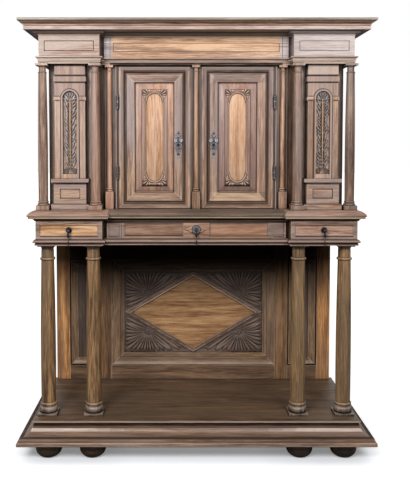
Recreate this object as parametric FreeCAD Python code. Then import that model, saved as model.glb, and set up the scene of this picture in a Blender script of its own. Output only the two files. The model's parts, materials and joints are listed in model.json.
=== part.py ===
import FreeCAD, Part
import os

# Court cupboard in oak, 1.82 m tall: an open stage on turned columns, a tier of three drawers,
# and a cupboard with two doors between niches and tall columns, under a wide crown.
# Millimetres. X is the width, Y runs from the front (minus) to the back, Z is up.
# The origin lies on the floor under the middle of the base board.

# Overall plan
overall_width = 1480.0
overall_depth = 575.0
back_inset = 1.5

# Heights of the layers, from the floor up
foot_height = 72.0
base_board_thickness = 19.0
base_moulding_height = 51.5
pot_board_thickness = 18.0
lower_column_height = 732.0
tier_moulding_height = 26.0
drawer_zone_height = 76.0
waist_height = 44.0
upper_column_height = 605.5
architrave_height = 29.0
frieze_height = 87.0
bed_height = 15.0
crown_height = 32.0
top_board_thickness = 12.0

# Plan insets, each from the line outside it
nosing_inset = 55.4
base_path_inset = 80.0
tier_inset = 72.5
upper_inset = 17.0
centre_setback = 25.0
upper_centre_setback = 48.0
recess_setback = 25.0
upper_recess_setback = 18.0
tier_block_width = 277.5
tier_slot_width = 17.0
upper_block_width = 250.0
upper_slot_width = 14.5

# Bun feet
foot_radius = 55.0
foot_sole_radius = 26.0
foot_neck_radius = 42.0
foot_belly_height = 40.0
foot_front_inset = 95.0
outer_foot_inset = 9.0

# Base board, base moulding and pot board
base_edge_round = 6.0
base_torus_out = 71.0
base_torus_bulge = 3.0
base_torus_height = 12.0
base_cove_out = 68.0
base_cove_rise = 2.0
base_cove_top_out = 21.0
base_cove_top_drop = 2.0
nosing_height = 10.0
nosing_undercut = 6.6
bearer_width = 60.0

# Lower columns
lower_column_side_inset = 54.0
lower_column_front_inset = 87.5
lower_inner_column_inset = 46.0
lower_plinth_width = 80.0
lower_plinth_height = 9.5
lower_torus_radius = 39.0
lower_torus_height = 26.0
lower_groove_radius = 33.0
lower_groove_height = 5.0
lower_ring_radius = 36.0
lower_ring_height = 12.0
lower_shaft_foot_radius = 31.0
lower_shaft_top_radius = 27.0
lower_astragal_radius = 32.5
lower_astragal_height = 11.0
lower_neck_radius = 26.5
lower_neck_height = 30.0
lower_echinus_radius = 36.0
lower_echinus_height = 19.0
lower_abacus_width = 74.0
lower_abacus_height = 10.0

# Open back of the lower stage
back_frame_thickness = 25.0
back_side_inset = 0.5
back_outer_stile_width = 64.0
back_inner_stile_inset = 10.0
back_inner_stile_width = 60.0
back_bottom_rail_height = 69.5
back_top_rail_height = 136.5
back_panel_thickness = 10.0
back_panel_recess = 9.0
panel_play = 0.4
side_bead_gap = 6.0
side_bead_width = 40.0
side_bead_flat = 9.0
side_bead_height = 13.0
bolection_width = 62.0
bolection_height = 13.0
bolection_lip = 8.0
bolection_flat = 23.0
bolection_step = 4.0
lozenge_width = 20.0
lozenge_height = 9.0
lozenge_bevel = 5.0

# Drawer tier
tier_floor_thickness = 15.0
tier_tip_out = 10.0
tier_tip_height = 13.0
tier_tip_thickness = 6.0
tier_band_out = 3.0
tier_band_height = 8.0
tier_quirk_out = 1.0
tier_quirk_height = 10.5
case_wall_thickness = 14.0
case_inner_wall_thickness = 12.0
case_back_thickness = 12.0
rail_depth = 16.6
centre_rail_depth = 18.0
runner_width = 20.0
runner_clear = 0.6
post_width = 60.0
post_panel_margin = 7.0
post_panel_height = 3.0
post_panel_edge = 4.0

# Drawers
front_thickness = 16.0
front_side_gap = 1.0
front_bottom_gap = 1.0
front_top_gap = 1.5
centre_front_gap = 2.0
drawer_play = 1.0
drawer_ride_gap = 0.3
drawer_back_gap = 95.0
drawer_wall = 10.0
drawer_bottom_thickness = 6.0
drawer_bottom_lift = 5.0
drawer_wall_height = 66.0
front_frame_width = 15.0
front_sink = 4.0
front_sink_slope = 5.0
centre_plain_half = 54.0
centre_panel_gap = 10.0
centre_lozenge_half_width = 49.0
centre_lozenge_half_height = 27.0
centre_lozenge_height = 4.0
centre_lozenge_top_share = 0.74

# Drop pulls
end_plate_radius = 12.5
centre_plate_radius = 16.0
pull_plate_thickness = 2.5
pull_height_share = 0.5
pull_ear_gap = 5.0
pull_ear_thickness = 2.0
pull_ear_radius = 4.5
pull_pin_radius = 1.5
pull_pin_clear = 0.06
pull_reach = 5.5
pull_eye_thickness = 4.0
pull_drop_length = 66.0
pull_neck_radius = 2.4
pull_belly_radius = 5.0
pull_tail_radius = 1.8
pull_tip_radius = 3.0
pull_belly_share = 0.36
pull_shoulder_share = 0.14
pull_tail_share = 0.7

# Waist
waist_board_thickness = 20.0
waist_foot_out = 3.0
waist_cavetto_out = 21.0
waist_cavetto_height = 11.0
waist_fillet_out = 25.0
waist_fillet_height = 19.0
waist_tip_out = 30.0
waist_tip_low = 22.0
waist_tip_high = 26.0
waist_top_out = 4.0

# Upper columns
upper_column_inset = 12.5
upper_inner_column_inset = 19.5
upper_plinth_width = 54.0
upper_plinth_height = 20.0
upper_torus_radius = 25.0
upper_torus_height = 8.0
upper_groove_radius = 20.5
upper_groove_height = 3.0
upper_ring_radius = 23.0
upper_ring_height = 6.0
upper_shaft_foot_radius = 19.5
upper_shaft_top_radius = 16.5
upper_astragal_radius = 18.5
upper_astragal_height = 5.0
upper_neck_radius = 14.5
upper_neck_height = 14.0
upper_echinus_radius = 22.0
upper_echinus_height = 11.0
upper_abacus_width = 50.0
upper_abacus_height = 8.5

# Niche panels and pedestals
niche_outward_shift = 1.5
niche_width = 126.0
niche_front = 22.0
niche_die_width = 134.0
niche_plinth_width = 156.0
niche_die_front = 12.0
niche_plinth_front = 6.0
niche_plinth_height = 24.0
niche_die_height = 85.0
niche_cap_height = 20.0
niche_cap_edge = 6.0
niche_inset_width = 84.0
niche_inset_height = 39.0
niche_inset_depth = 3.0
niche_inset_drop = 20.0
niche_arch_radius = 30.0
niche_arch_depth = 8.0
niche_ring_width = 7.0
niche_ring_height = 4.0
niche_ring_groove = 3.0
niche_arch_top_drop = 110.0
niche_sill = 20.0
niche_band_first_drop = 50.0
niche_band_second_drop = 76.0
niche_band_groove = 4.0
niche_impost_drop = 150.0
niche_impost_height = 15.0
niche_impost_out = 3.5

# Upper case
recess_plane_gap = 73.0
corner_board_thickness = 18.0
case_side_inset = 27.5
side_frame_thickness = 22.0
side_stile_width = 60.0
side_rail_height = 70.0
side_panel_thickness = 12.0
side_panel_recess = 6.0
side_panel_bevel = 30.0
side_panel_rise = 5.0
back_plank_count = 4
back_plank_thickness = 12.0
shelf_thickness = 18.0
shelf_height = 290.0
shelf_front_gap = 30.0
shelf_play = 0.4
shelf_bearer_width = 20.0
shelf_bearer_height = 25.0
post_depth = 45.0
post_proud = 5.0
centre_post_half = 22.0
ceiling_thickness = 15.0

# Half columns on the door posts
half_column_pedestal_width = 33.0
half_column_pedestal_depth = 20.0
half_column_pedestal_height = 73.0
half_column_axis_gap = 4.0
half_column_radius = 10.5
half_column_top_radius = 9.5
half_column_ring_radius = 14.0
half_column_ring_height = 6.0
half_column_base_height = 15.0
half_column_capital_height = 18.0
half_column_neck_radius = 9.0
half_column_abacus_height = 9.0
half_column_outer_inset = 20.0

# Doors
door_jamb_width = 58.0
door_free_gap = 2.0
door_front_gap = 66.0
door_thickness = 22.0
door_bottom_gap = 2.5
door_top_gap = 2.5
door_member_share = 0.23
door_band_share = 0.33
door_band_drop = 5.5
door_bead_start_share = 0.39
door_bead_end_share = 0.52
door_bead_drop = 3.5
door_flat_drop = 2.5
door_inner_step = 4.0
door_inner_drop = 7.0
door_panel_thickness = 9.0
door_panel_back = 2.0
door_panel_bevel_share = 0.095
door_panel_rise = 8.0
door_field_margin_share = 0.049
door_field_sink = 3.0
door_field_shoulder_share = 0.02

# Barrel hinges
hinge_axis_out = 4.0
hinge_axis_front = 8.0
hinge_radius = 5.5
hinge_half_length = 24.0
hinge_finial_radius = 4.0
hinge_finial_length = 9.0
hinge_pin_radius = 3.0
hinge_pin_clear = 0.05
hinge_pin_length = 17.0
hinge_pin_end_gap = 1.0
hinge_joint_gap = 0.3
hinge_leaf_thickness = 1.6
hinge_leaf_length = 24.0
hinge_leaf_gap = 0.8
hinge_leaf_inset = 3.0
hinge_low_height = 155.0
hinge_high_height = 452.0

# Locks, bolts and key plates
lock_height = 270.0
lock_length = 58.0
lock_tall = 70.0
lock_thick = 13.0
lock_edge_gap = 4.0
lock_wall = 2.5
bolt_length = 40.0
bolt_tall = 20.0
bolt_thick = 7.0
bolt_clear = 0.3
bolt_throw = 12.0
bolt_pocket_clear = 1.0
key_plate_place_share = 0.73
key_plate_width = 38.0
key_plate_height = 122.0
key_plate_thickness = 2.0
key_hole_radius = 4.0
key_slot_width = 4.6
key_slot_length = 11.5
key_hole_depth = 9.0
key_eye_radius = 2.2

# Right half of the key plate's outline from its top down, and its pierced eyes: places across
# and up from the keyhole, as shares of half its width and half its height
key_plate_shares = [(0.00, 1.00), (0.22, 0.91), (0.12, 0.81), (0.34, 0.75), (0.64, 0.70),
                    (0.62, 0.60), (0.30, 0.54), (0.52, 0.46), (0.94, 0.44), (1.00, 0.30),
                    (0.74, 0.22), (0.56, 0.12), (0.72, 0.00), (0.56, -0.14), (0.36, -0.21),
                    (0.62, -0.28), (0.60, -0.38), (0.24, -0.43), (0.28, -0.54), (0.14, -0.66),
                    (0.10, -0.82), (0.00, -0.92)]
key_eye_shares = [(0.00, 0.84), (0.34, 0.64), (-0.34, 0.64), (0.00, 0.42), (0.62, 0.34),
                  (-0.62, 0.34)]

# Entablature
architrave_fillet_out = 12.0
architrave_fillet_height = 5.0
architrave_cavetto_out = 5.0
architrave_cavetto_height = 9.0
architrave_fascia_out = 4.0
architrave_lower_out = 1.0
architrave_lower_height = 7.0
frieze_board_thickness = 18.0
frieze_panel_margin_x = 22.0
frieze_panel_margin_z = 22.0
centre_panel_margin_x = 37.0
centre_panel_margin_z = 24.0
frieze_groove_width = 3.5
frieze_groove_depth = 3.0
frieze_stile_width = 25.0
frieze_joint_width = 2.5
bed_out = 20.0
bed_lip = 2.0
bed_step_share = 0.45

# Crown
crown_fascia_out = 51.5
crown_fascia_height = 12.5
crown_quirk_in = 48.0
crown_quirk_height = 15.5
crown_cove_foot_out = 52.0
crown_cove_out = 63.0
crown_cove_height = 29.0
crown_top_out = 72.5
crown_board_thickness = 12.0
crown_edge_round = 4.0

# Rise of a curve over its chord, as a share of the chord: a quarter circle, a gentle swell
quarter_share = 0.2071
gentle_share = 0.10
shaft_share = 0.004
cut_over = 1.0

# Levels
base_board_bottom = foot_height
base_board_top = base_board_bottom + base_board_thickness
pot_board_bottom = base_board_top + base_moulding_height
pot_board_top = pot_board_bottom + pot_board_thickness
tier_bottom = pot_board_top + lower_column_height
tier_floor_top = tier_bottom + tier_floor_thickness
drawer_zone_bottom = tier_bottom + tier_moulding_height
drawer_zone_top = drawer_zone_bottom + drawer_zone_height
waist_top = drawer_zone_top + waist_height
waist_board_bottom = waist_top - waist_board_thickness
architrave_bottom = waist_top + upper_column_height
frieze_bottom = architrave_bottom + architrave_height
frieze_top = frieze_bottom + frieze_height
crown_bottom = frieze_top + bed_height
top_board_bottom = crown_bottom + crown_height
ceiling_top = architrave_bottom + ceiling_thickness

# Planes
half_width = overall_width / 2
front = -overall_depth / 2
rear = overall_depth / 2
case_rear = rear - back_inset
tier_half = half_width - tier_inset
tier_block_inner = tier_half - tier_block_width
tier_centre_half = tier_block_inner - tier_slot_width
tier_front = front + tier_inset
tier_centre_front = tier_front + centre_setback
tier_recess = tier_centre_front + recess_setback
upper_half = tier_half - upper_inset
upper_block_inner = upper_half - upper_block_width
upper_centre_half = upper_block_inner - upper_slot_width
upper_front = tier_front + upper_inset
upper_centre_front = upper_front + upper_centre_setback
upper_recess = upper_centre_front + upper_recess_setback
case_half = upper_half - case_side_inset
corner_board_front = upper_front + recess_plane_gap
corner_board_rear = corner_board_front + corner_board_thickness
post_front = corner_board_front - post_proud
post_rear = post_front + post_depth
door_front = upper_front + door_front_gap
door_rear = door_front + door_thickness
door_bottom = waist_top + door_bottom_gap
door_top = architrave_bottom - door_top_gap
door_edge_x = upper_centre_half - door_jamb_width
door_inner_x = centre_post_half + door_free_gap
door_width = door_edge_x - door_inner_x
door_member_width = door_width * door_member_share
jamb_x = door_edge_x + hinge_leaf_thickness + hinge_leaf_gap
hinge_x = door_edge_x + hinge_axis_out
hinge_y = door_front - hinge_axis_front
case_inner_half = case_half - side_frame_thickness
case_inner_rear = case_rear - back_plank_thickness
case_wall_rear = case_rear - case_back_thickness
niche_x = (upper_block_inner + upper_half) / 2 + niche_outward_shift
half_column_x = upper_centre_half - half_column_outer_inset
lower_column_x = half_width - nosing_inset - lower_column_side_inset
lower_inner_column_x = tier_block_inner + lower_inner_column_inset
lower_column_y = front + nosing_inset + lower_column_front_inset
upper_column_x = upper_half - upper_column_inset
upper_inner_column_x = upper_block_inner + upper_inner_column_inset
upper_column_y = upper_front + upper_column_inset

UP = FreeCAD.Vector(0, 0, 1)


def vec(x, y, z):
    return FreeCAD.Vector(x, y, z)


def box(x0, x1, y0, y1, z0, z1):
    return Part.makeBox(x1 - x0, y1 - y0, z1 - z0, vec(x0, y0, z0))


def mirrored(shape):
    return shape.mirror(vec(0, 0, 0), vec(1, 0, 0))


def pair(shapes):
    """The given right-hand solids and their left-hand twins."""
    return shapes + [mirrored(shape) for shape in shapes]


def save(name, solids):
    shape = solids[0] if len(solids) == 1 else Part.makeCompound(solids)
    shape.exportStep("parts/" + name + ".step")
    print(name, len(shape.Solids), "solids", round(shape.Volume / overall_width), shape.isValid())


def face_of(steps, place):
    """A flat face from steps (a, b), or (a, b, bow) for an arc that swells right of the way."""
    edges = []
    first = steps[0]
    last = first
    for step in list(steps[1:]) + [first[:2]]:
        a, b = step[0], step[1]
        if len(step) == 3:
            bow = step[2]
            middle = ((last[0] + a) / 2 + (b - last[1]) * bow, (last[1] + b) / 2 - (a - last[0]) * bow)
            edges.append(Part.Arc(place(last[0], last[1]), place(*middle), place(a, b)).toShape())
        elif (a, b) != (last[0], last[1]):
            edges.append(Part.LineSegment(place(last[0], last[1]), place(a, b)).toShape())
        last = (a, b)
    return Part.Face(Part.Wire(edges))


def turned(steps, x, y, z):
    """A solid of revolution about the upright through x, y from steps (radius, height)."""
    face = face_of(steps, lambda radius, height: vec(x + radius, y, z + height))
    return face.revolve(vec(x, y, z), UP, 360)


def plan_board(path, z0, z1):
    """A board whose plan is the closed path of (x, y) points."""
    face = face_of(path, lambda x, y: vec(x, y, z0))
    return face.extrude(vec(0, 0, z1 - z0))


def upright_plate(steps, y0, y1):
    """A plate that stands upright: its outline in (x, z), from y0 back to y1."""
    face = face_of(steps, lambda x, z: vec(x, y0, z))
    return face.extrude(vec(0, y1 - y0, 0))


def mitred_length(steps, start, end, mitre_start, mitre_end):
    """One straight length of moulding in the XY plane, mitred at both ends.

    Steps are (out, up) from the path; out points to the right of the way from start to end."""
    reach = max(step[0] for step in steps)
    low = min(step[1] for step in steps)
    high = max(step[1] for step in steps)
    along = (end - start).normalize()
    outward = along.cross(UP)
    base = start - along * reach
    face = face_of(steps, lambda out, up: base + outward * out + UP * up)
    bar = face.extrude(end - start + along * (reach * 2))
    corners = [start, start + outward * reach - along * (reach * mitre_start),
               end + outward * reach + along * (reach * mitre_end), end, start]
    wedge = Part.Face(Part.makePolygon([corner + UP * low for corner in corners]))
    return bar.common(wedge.extrude(UP * (high - low)))


def mouldings_around(steps, path, closed=False):
    """Mitred lengths along a path of (x, y) points with square corners."""
    points = [vec(x, y, 0) for x, y in path]
    count = len(points) if closed else len(points) - 1
    ways = [(points[(i + 1) % len(points)] - points[i]).normalize() for i in range(count)]
    lengths = []
    for i in range(count):
        turn_start = ways[i - 1].cross(ways[i]).z if closed or i > 0 else 0
        turn_end = ways[i].cross(ways[(i + 1) % count]).z if closed or i < count - 1 else 0
        lengths.append(mitred_length(steps, points[i], points[(i + 1) % len(points)],
                                     turn_start, turn_end))
    return lengths


def lifted(solids, z):
    return [solid.translated(vec(0, 0, z)) for solid in solids]


def stood_up(solids, y):
    """Turns work laid out in the XY plane to stand in XZ, facing the front, with its back at y."""
    placement = FreeCAD.Placement(vec(0, y, 0), FreeCAD.Rotation(vec(1, 0, 0), 90))
    return [solid.transformGeometry(placement.toMatrix()) for solid in solids]


def framed_path(x0, x1, z0, z1):
    """A clockwise loop, so that mouldings on it point inwards."""
    return [(x0, z0), (x0, z1), (x1, z1), (x1, z0)]


def rectangle(x0, x1, z0, z1, y):
    corners = [vec(x0, y, z0), vec(x1, y, z0), vec(x1, y, z1), vec(x0, y, z1), vec(x0, y, z0)]
    return Part.makePolygon(corners)


def bevelled(x0, x1, z0, z1, y_base, y_top, inset):
    """A raised table with sloping edges that faces the front."""
    low = rectangle(x0, x1, z0, z1, y_base)
    high = rectangle(x0 + inset, x1 - inset, z0 + inset, z1 - inset, y_top)
    return Part.makeLoft([low, high], True, True)


def groove_ring(x0, x1, z0, z1, y, width, depth):
    """The cutter for a thin rectangular groove in a face at y."""
    outer = box(x0, x1, y - cut_over, y + depth, z0, z1)
    inner = box(x0 + width, x1 - width, y - cut_over * 2, y + depth + cut_over, z0 + width, z1 - width)
    return outer.cut(inner)


def moulded_board(board_half, y0, y1, z, edge):
    """A board with a moulded front and sides; edge steps are (inset, up) from bottom to top."""
    width = board_half * 2
    depth = y1 - y0
    height = edge[-1][1]
    front_steps = edge + [(depth, height), (depth, 0)]
    side_steps = edge + [(width, height), (width, 0)]
    front_face = face_of(front_steps, lambda inset, up: vec(-board_half, y0 + inset, z + up))
    side_face = face_of(side_steps, lambda inset, up: vec(-board_half + inset, y0, z + up))
    board = front_face.extrude(vec(width, 0, 0))
    side = side_face.extrude(vec(0, depth, 0))
    return board.common(side).common(mirrored(side))


def round_edge(thickness, radius):
    """Steps of a board edge with both corners rounded, from bottom to top."""
    return [(radius, 0), (0, radius, -quarter_share), (0, thickness - radius),
            (radius, thickness, -quarter_share)]


def stepped_path(half, block_inner, block_front, centre_front, back):
    """The face line of a tier whose two ends break forward."""
    return [(-half, back), (-half, block_front), (-block_inner, block_front),
            (-block_inner, centre_front), (block_inner, centre_front),
            (block_inner, block_front), (half, block_front), (half, back)]


tier_path = stepped_path(tier_half, tier_block_inner, tier_front, tier_centre_front, case_rear)
upper_path = stepped_path(upper_half, upper_block_inner, upper_front, upper_centre_front, case_rear)


def make_base():
    feet = []
    profile = [(0, 0), (foot_sole_radius, 0), (foot_radius, foot_belly_height, quarter_share),
               (foot_neck_radius, foot_height, quarter_share), (0, foot_height)]
    front_y = front + foot_front_inset
    outer_x = lower_column_x - outer_foot_inset
    for x, y in ((outer_x, front_y), (lower_inner_column_x, front_y), (outer_x, -front_y)):
        feet += pair([turned(profile, x, y, 0)])
    save("bun_feet", feet)
    board = moulded_board(half_width, front, rear, base_board_bottom,
                          round_edge(base_board_thickness, base_edge_round))
    save("base_board", [board])
    path_half = half_width - base_path_inset
    path_front = front + base_path_inset
    path = [(-path_half, rear), (-path_half, path_front), (path_half, path_front), (path_half, rear)]
    cove_top = base_moulding_height - base_cove_top_drop
    steps = [(0, 0), (base_torus_out, 0),
             (base_torus_out, base_torus_height, base_torus_bulge / base_torus_height),
             (base_cove_out, base_torus_height + base_cove_rise),
             (base_cove_top_out, cove_top, -quarter_share),
             (base_cove_top_out, base_moulding_height), (0, base_moulding_height)]
    save("base_moulding", lifted(mouldings_around(steps, path), base_board_top))
    bearers = [box(-path_half, path_half, rear - bearer_width, rear, base_board_top, pot_board_bottom)]
    for x in (-lower_inner_column_x, 0, lower_inner_column_x):
        bearers.append(box(x - bearer_width / 2, x + bearer_width / 2, path_front,
                           rear - bearer_width, base_board_top, pot_board_bottom))
    save("base_bearers", bearers)
    nose = nosing_height / 2
    under = pot_board_thickness - nosing_height
    edge = [(nosing_undercut, 0), (nosing_undercut, under), (nose / 2, under),
            (0, under + nose, -quarter_share), (nose / 2, pot_board_thickness, -quarter_share)]
    board = moulded_board(half_width - nosing_inset, front + nosing_inset, rear, pot_board_bottom, edge)
    save("pot_board", [board])


def column(x, y, z, height, plinth, turning, abacus):
    """One turned column: square plinth, rings, tapered shaft, neck and square cap in one piece."""
    plinth_width, plinth_height = plinth
    abacus_width, abacus_height = abacus
    core = turned(turning, x, y, z)
    low = box(x - plinth_width / 2, x + plinth_width / 2, y - plinth_width / 2, y + plinth_width / 2,
              z, z + plinth_height)
    high = box(x - abacus_width / 2, x + abacus_width / 2, y - abacus_width / 2,
               y + abacus_width / 2, z + height - abacus_height, z + height)
    return core.fuse([low, high]).removeSplitter()


def make_lower_columns():
    ring_bottom = lower_plinth_height + lower_torus_height + lower_groove_height
    shaft_bottom = ring_bottom + lower_ring_height
    echinus_top = lower_column_height - lower_abacus_height
    echinus_bottom = echinus_top - lower_echinus_height
    astragal_top = echinus_bottom - lower_neck_height
    shaft_top = astragal_top - lower_astragal_height
    turning = [(0, 0), (lower_groove_radius, 0), (lower_groove_radius, lower_plinth_height),
               (lower_groove_radius, lower_plinth_height + lower_torus_height,
                (lower_torus_radius - lower_groove_radius) / lower_torus_height),
               (lower_groove_radius, ring_bottom),
               (lower_groove_radius, shaft_bottom,
                (lower_ring_radius - lower_groove_radius) / lower_ring_height),
               (lower_shaft_foot_radius, shaft_bottom),
               (lower_shaft_top_radius, shaft_top, shaft_share),
               (lower_shaft_top_radius, astragal_top,
                (lower_astragal_radius - lower_shaft_top_radius) / lower_astragal_height),
               (lower_neck_radius, astragal_top), (lower_neck_radius, echinus_bottom),
               (lower_echinus_radius, echinus_top, -quarter_share),
               (lower_echinus_radius, lower_column_height), (0, lower_column_height)]
    plinth = (lower_plinth_width, lower_plinth_height)
    abacus = (lower_abacus_width, lower_abacus_height)
    right = [column(x, lower_column_y, pot_board_top, lower_column_height, plinth, turning, abacus)
             for x in (lower_inner_column_x, lower_column_x)]
    save("lower_columns", pair(right))


def make_back():
    y0 = case_rear - back_frame_thickness
    panel_front = y0 + back_panel_recess
    panel_rear = panel_front + back_panel_thickness
    outer_half = tier_half - back_side_inset
    outer_inner = outer_half - back_outer_stile_width
    middle_half = tier_block_inner + back_inner_stile_inset
    inner_outer = middle_half + back_inner_stile_width
    low = pot_board_top + back_bottom_rail_height
    high = tier_bottom - back_top_rail_height
    stiles = [box(outer_inner, outer_half, y0, case_rear, pot_board_top, tier_bottom),
              box(middle_half, inner_outer, y0, case_rear, pot_board_top, tier_bottom)]
    save("back_stiles", pair(stiles))
    rails = pair([box(inner_outer, outer_inner, y0, case_rear, pot_board_top, low),
                  box(inner_outer, outer_inner, y0, case_rear, high, tier_bottom)])
    rails.append(box(-middle_half, middle_half, y0, case_rear, pot_board_top, low))
    rails.append(box(-middle_half, middle_half, y0, case_rear, high, tier_bottom))
    save("back_rails", rails)
    panels = pair([box(inner_outer + panel_play, outer_inner - panel_play, panel_front, panel_rear,
                       low + panel_play, high - panel_play)])
    panels.append(box(-middle_half + panel_play, middle_half - panel_play,
                      panel_front, panel_rear, low + panel_play, high - panel_play))
    save("back_panels", panels)
    bead_rim = side_bead_width - side_bead_flat
    bead = [(side_bead_gap, 0), (side_bead_width, 0), (side_bead_width, bolection_lip / 2),
            (bead_rim, bolection_lip / 2),
            (side_bead_gap + bolection_lip / 2, side_bead_height, -quarter_share / 2),
            (side_bead_gap, side_bead_height - bolection_step)]
    side_beads = mouldings_around(bead, framed_path(inner_outer, outer_inner, low, high), True)
    beads = pair(stood_up(side_beads, panel_front))
    lip = back_panel_recess + bolection_lip / 2
    rim = bolection_width - bolection_flat
    bolection = [(0, 0), (bolection_width, 0), (bolection_width, bolection_lip / 2),
                 (rim, bolection_lip / 2), (rim, bolection_lip / 2 + bolection_step),
                 (bolection_lip, bolection_height, -quarter_share / 2), (0, lip)]
    loop = framed_path(-middle_half, middle_half, low, high)
    beads += stood_up(mouldings_around(bolection, loop, True), panel_front)
    save("back_mouldings", beads)
    reach_x = middle_half - bolection_width
    reach_z = (high - low) / 2 - bolection_width
    slope = (reach_x ** 2 + reach_z ** 2) ** 0.5
    thin_x = lozenge_width * slope / reach_z
    thin_z = lozenge_width * slope / reach_x
    cut_share = lozenge_bevel / lozenge_width
    middle = (low + high) / 2
    bars = []
    for side_x in (1, -1):
        for side_z in (1, -1):
            wires = []
            for share, y in ((0, panel_front), (cut_share, panel_front - lozenge_height)):
                out_x, out_z = reach_x - thin_x * share, reach_z - thin_z * share
                in_x, in_z = reach_x - thin_x * (1 - share), reach_z - thin_z * (1 - share)
                corners = [(out_x, 0), (0, out_z), (0, in_z), (in_x, 0), (out_x, 0)]
                points = [vec(side_x * x, y, middle + side_z * z) for x, z in corners]
                wires.append(Part.makePolygon(points))
            bars.append(Part.makeLoft(wires, True, True))
    save("lozenge_moulding", bars)


def make_tier():
    save("tier_floor", [plan_board(tier_path, tier_bottom, tier_floor_top)])
    steps = [(0, 0), (tier_band_out, 0), (tier_band_out, tier_band_height),
             (tier_quirk_out, tier_band_height), (tier_quirk_out, tier_quirk_height),
             (tier_tip_out, tier_tip_height), (tier_tip_out, tier_tip_height + tier_tip_thickness),
             (0, tier_moulding_height, quarter_share / 2)]
    save("tier_moulding", lifted(mouldings_around(steps, tier_path), tier_bottom))
    wall_front = tier_front + rail_depth
    wall_rear = case_wall_rear
    centre_rail_rear = tier_centre_front + centre_rail_depth
    post_inner = tier_centre_half - post_width
    inner_wall = tier_block_inner + case_inner_wall_thickness
    levels = (tier_floor_top, waist_board_bottom)
    frame = pair([box(tier_half - case_wall_thickness, tier_half, wall_front, case_rear, *levels),
                  box(tier_block_inner, inner_wall, wall_front, wall_rear, *levels),
                  box(post_inner, post_inner + case_inner_wall_thickness, centre_rail_rear,
                      wall_rear, *levels),
                  box(tier_centre_half, tier_block_inner, tier_recess,
                      tier_recess + case_inner_wall_thickness, *levels)])
    frame.append(box(-tier_half + case_wall_thickness, tier_half - case_wall_thickness,
                     wall_rear, case_rear, *levels))
    for z0, z1 in ((tier_floor_top, drawer_zone_bottom), (drawer_zone_top, waist_board_bottom)):
        frame += pair([box(tier_block_inner, tier_half, tier_front, wall_front, z0, z1)])
        frame.append(box(-tier_block_inner, tier_block_inner, tier_centre_front,
                         centre_rail_rear, z0, z1))
    save("drawer_case_frame", frame)
    runners = []
    for x0, x1, y0 in ((inner_wall + runner_clear, tier_half - case_wall_thickness - runner_clear,
                        wall_front + runner_clear),
                       (-post_inner + runner_clear, post_inner - runner_clear,
                        centre_rail_rear + runner_clear)):
        ends = [box(x0, x0 + runner_width, y0, wall_rear, tier_floor_top, drawer_zone_bottom),
                box(x1 - runner_width, x1, y0, wall_rear, tier_floor_top, drawer_zone_bottom)]
        runners += pair(ends) if x0 > 0 else ends
    save("drawer_runners", runners)
    post = box(post_inner, tier_centre_half, tier_centre_front, centre_rail_rear,
               drawer_zone_bottom, drawer_zone_top)
    panel = bevelled(post_inner + post_panel_margin, tier_centre_half - post_panel_margin,
                     drawer_zone_bottom + post_panel_margin, drawer_zone_top - post_panel_margin,
                     tier_centre_front, tier_centre_front - post_panel_height, post_panel_edge)
    save("drawer_posts", pair([post.fuse(panel).removeSplitter()]))


def drawer_box(x0, x1, plate_rear):
    """Two sides, a back and a bottom, open at the top, behind a front whose back is at plate_rear."""
    z0 = drawer_zone_bottom + drawer_ride_gap
    z1 = z0 + drawer_wall_height
    y1 = case_wall_rear - drawer_back_gap
    bottom = z0 + drawer_bottom_lift
    return [box(x0, x0 + drawer_wall, plate_rear, y1, z0, z1),
            box(x1 - drawer_wall, x1, plate_rear, y1, z0, z1),
            box(x0 + drawer_wall, x1 - drawer_wall, y1 - drawer_wall, y1,
                bottom + drawer_bottom_thickness, z1),
            box(x0 + drawer_wall, x1 - drawer_wall, plate_rear, y1, bottom,
                bottom + drawer_bottom_thickness)]


def sunk_panel(x0, x1, z0, z1, y):
    """The cutter for a sunk panel with sloping edges in a face at y."""
    return bevelled(x0, x1, z0, z1, y, y + front_sink, front_sink_slope)


def raised_lozenge(z, y_base, y_top):
    """The raised lozenge with sloping edges in the middle of the centre drawer front."""
    wires = []
    for share, y in ((1, y_base), (centre_lozenge_top_share, y_top)):
        x = centre_lozenge_half_width * share
        up = centre_lozenge_half_height * share
        corners = [(x, 0), (0, up), (-x, 0), (0, -up), (x, 0)]
        wires.append(Part.makePolygon([vec(a, y, z + b) for a, b in corners]))
    return Part.makeLoft(wires, True, True)


def pull_plate(x, face_y, z, reach_y, radius):
    """Round back plate with two ears and the cross pin that the drop hangs on."""
    plate = Part.makeCylinder(radius, pull_plate_thickness,
                              vec(x, face_y - pull_plate_thickness, z), vec(0, 1, 0))
    ear_x = pull_ear_gap / 2
    for side in (1, -1):
        inner = x + side * ear_x
        outer = inner + side * pull_ear_thickness
        x0, x1 = min(inner, outer), max(inner, outer)
        arm = box(x0, x1, reach_y, face_y, z - pull_ear_radius, z + pull_ear_radius)
        tip = Part.makeCylinder(pull_ear_radius, pull_ear_thickness, vec(x0, reach_y, z), vec(1, 0, 0))
        plate = plate.fuse([arm, tip])
    pin_half = ear_x + pull_ear_thickness / 2
    pin = Part.makeCylinder(pull_pin_radius, pin_half * 2, vec(x - pin_half, reach_y, z), vec(1, 0, 0))
    return plate.fuse(pin).removeSplitter()


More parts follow.
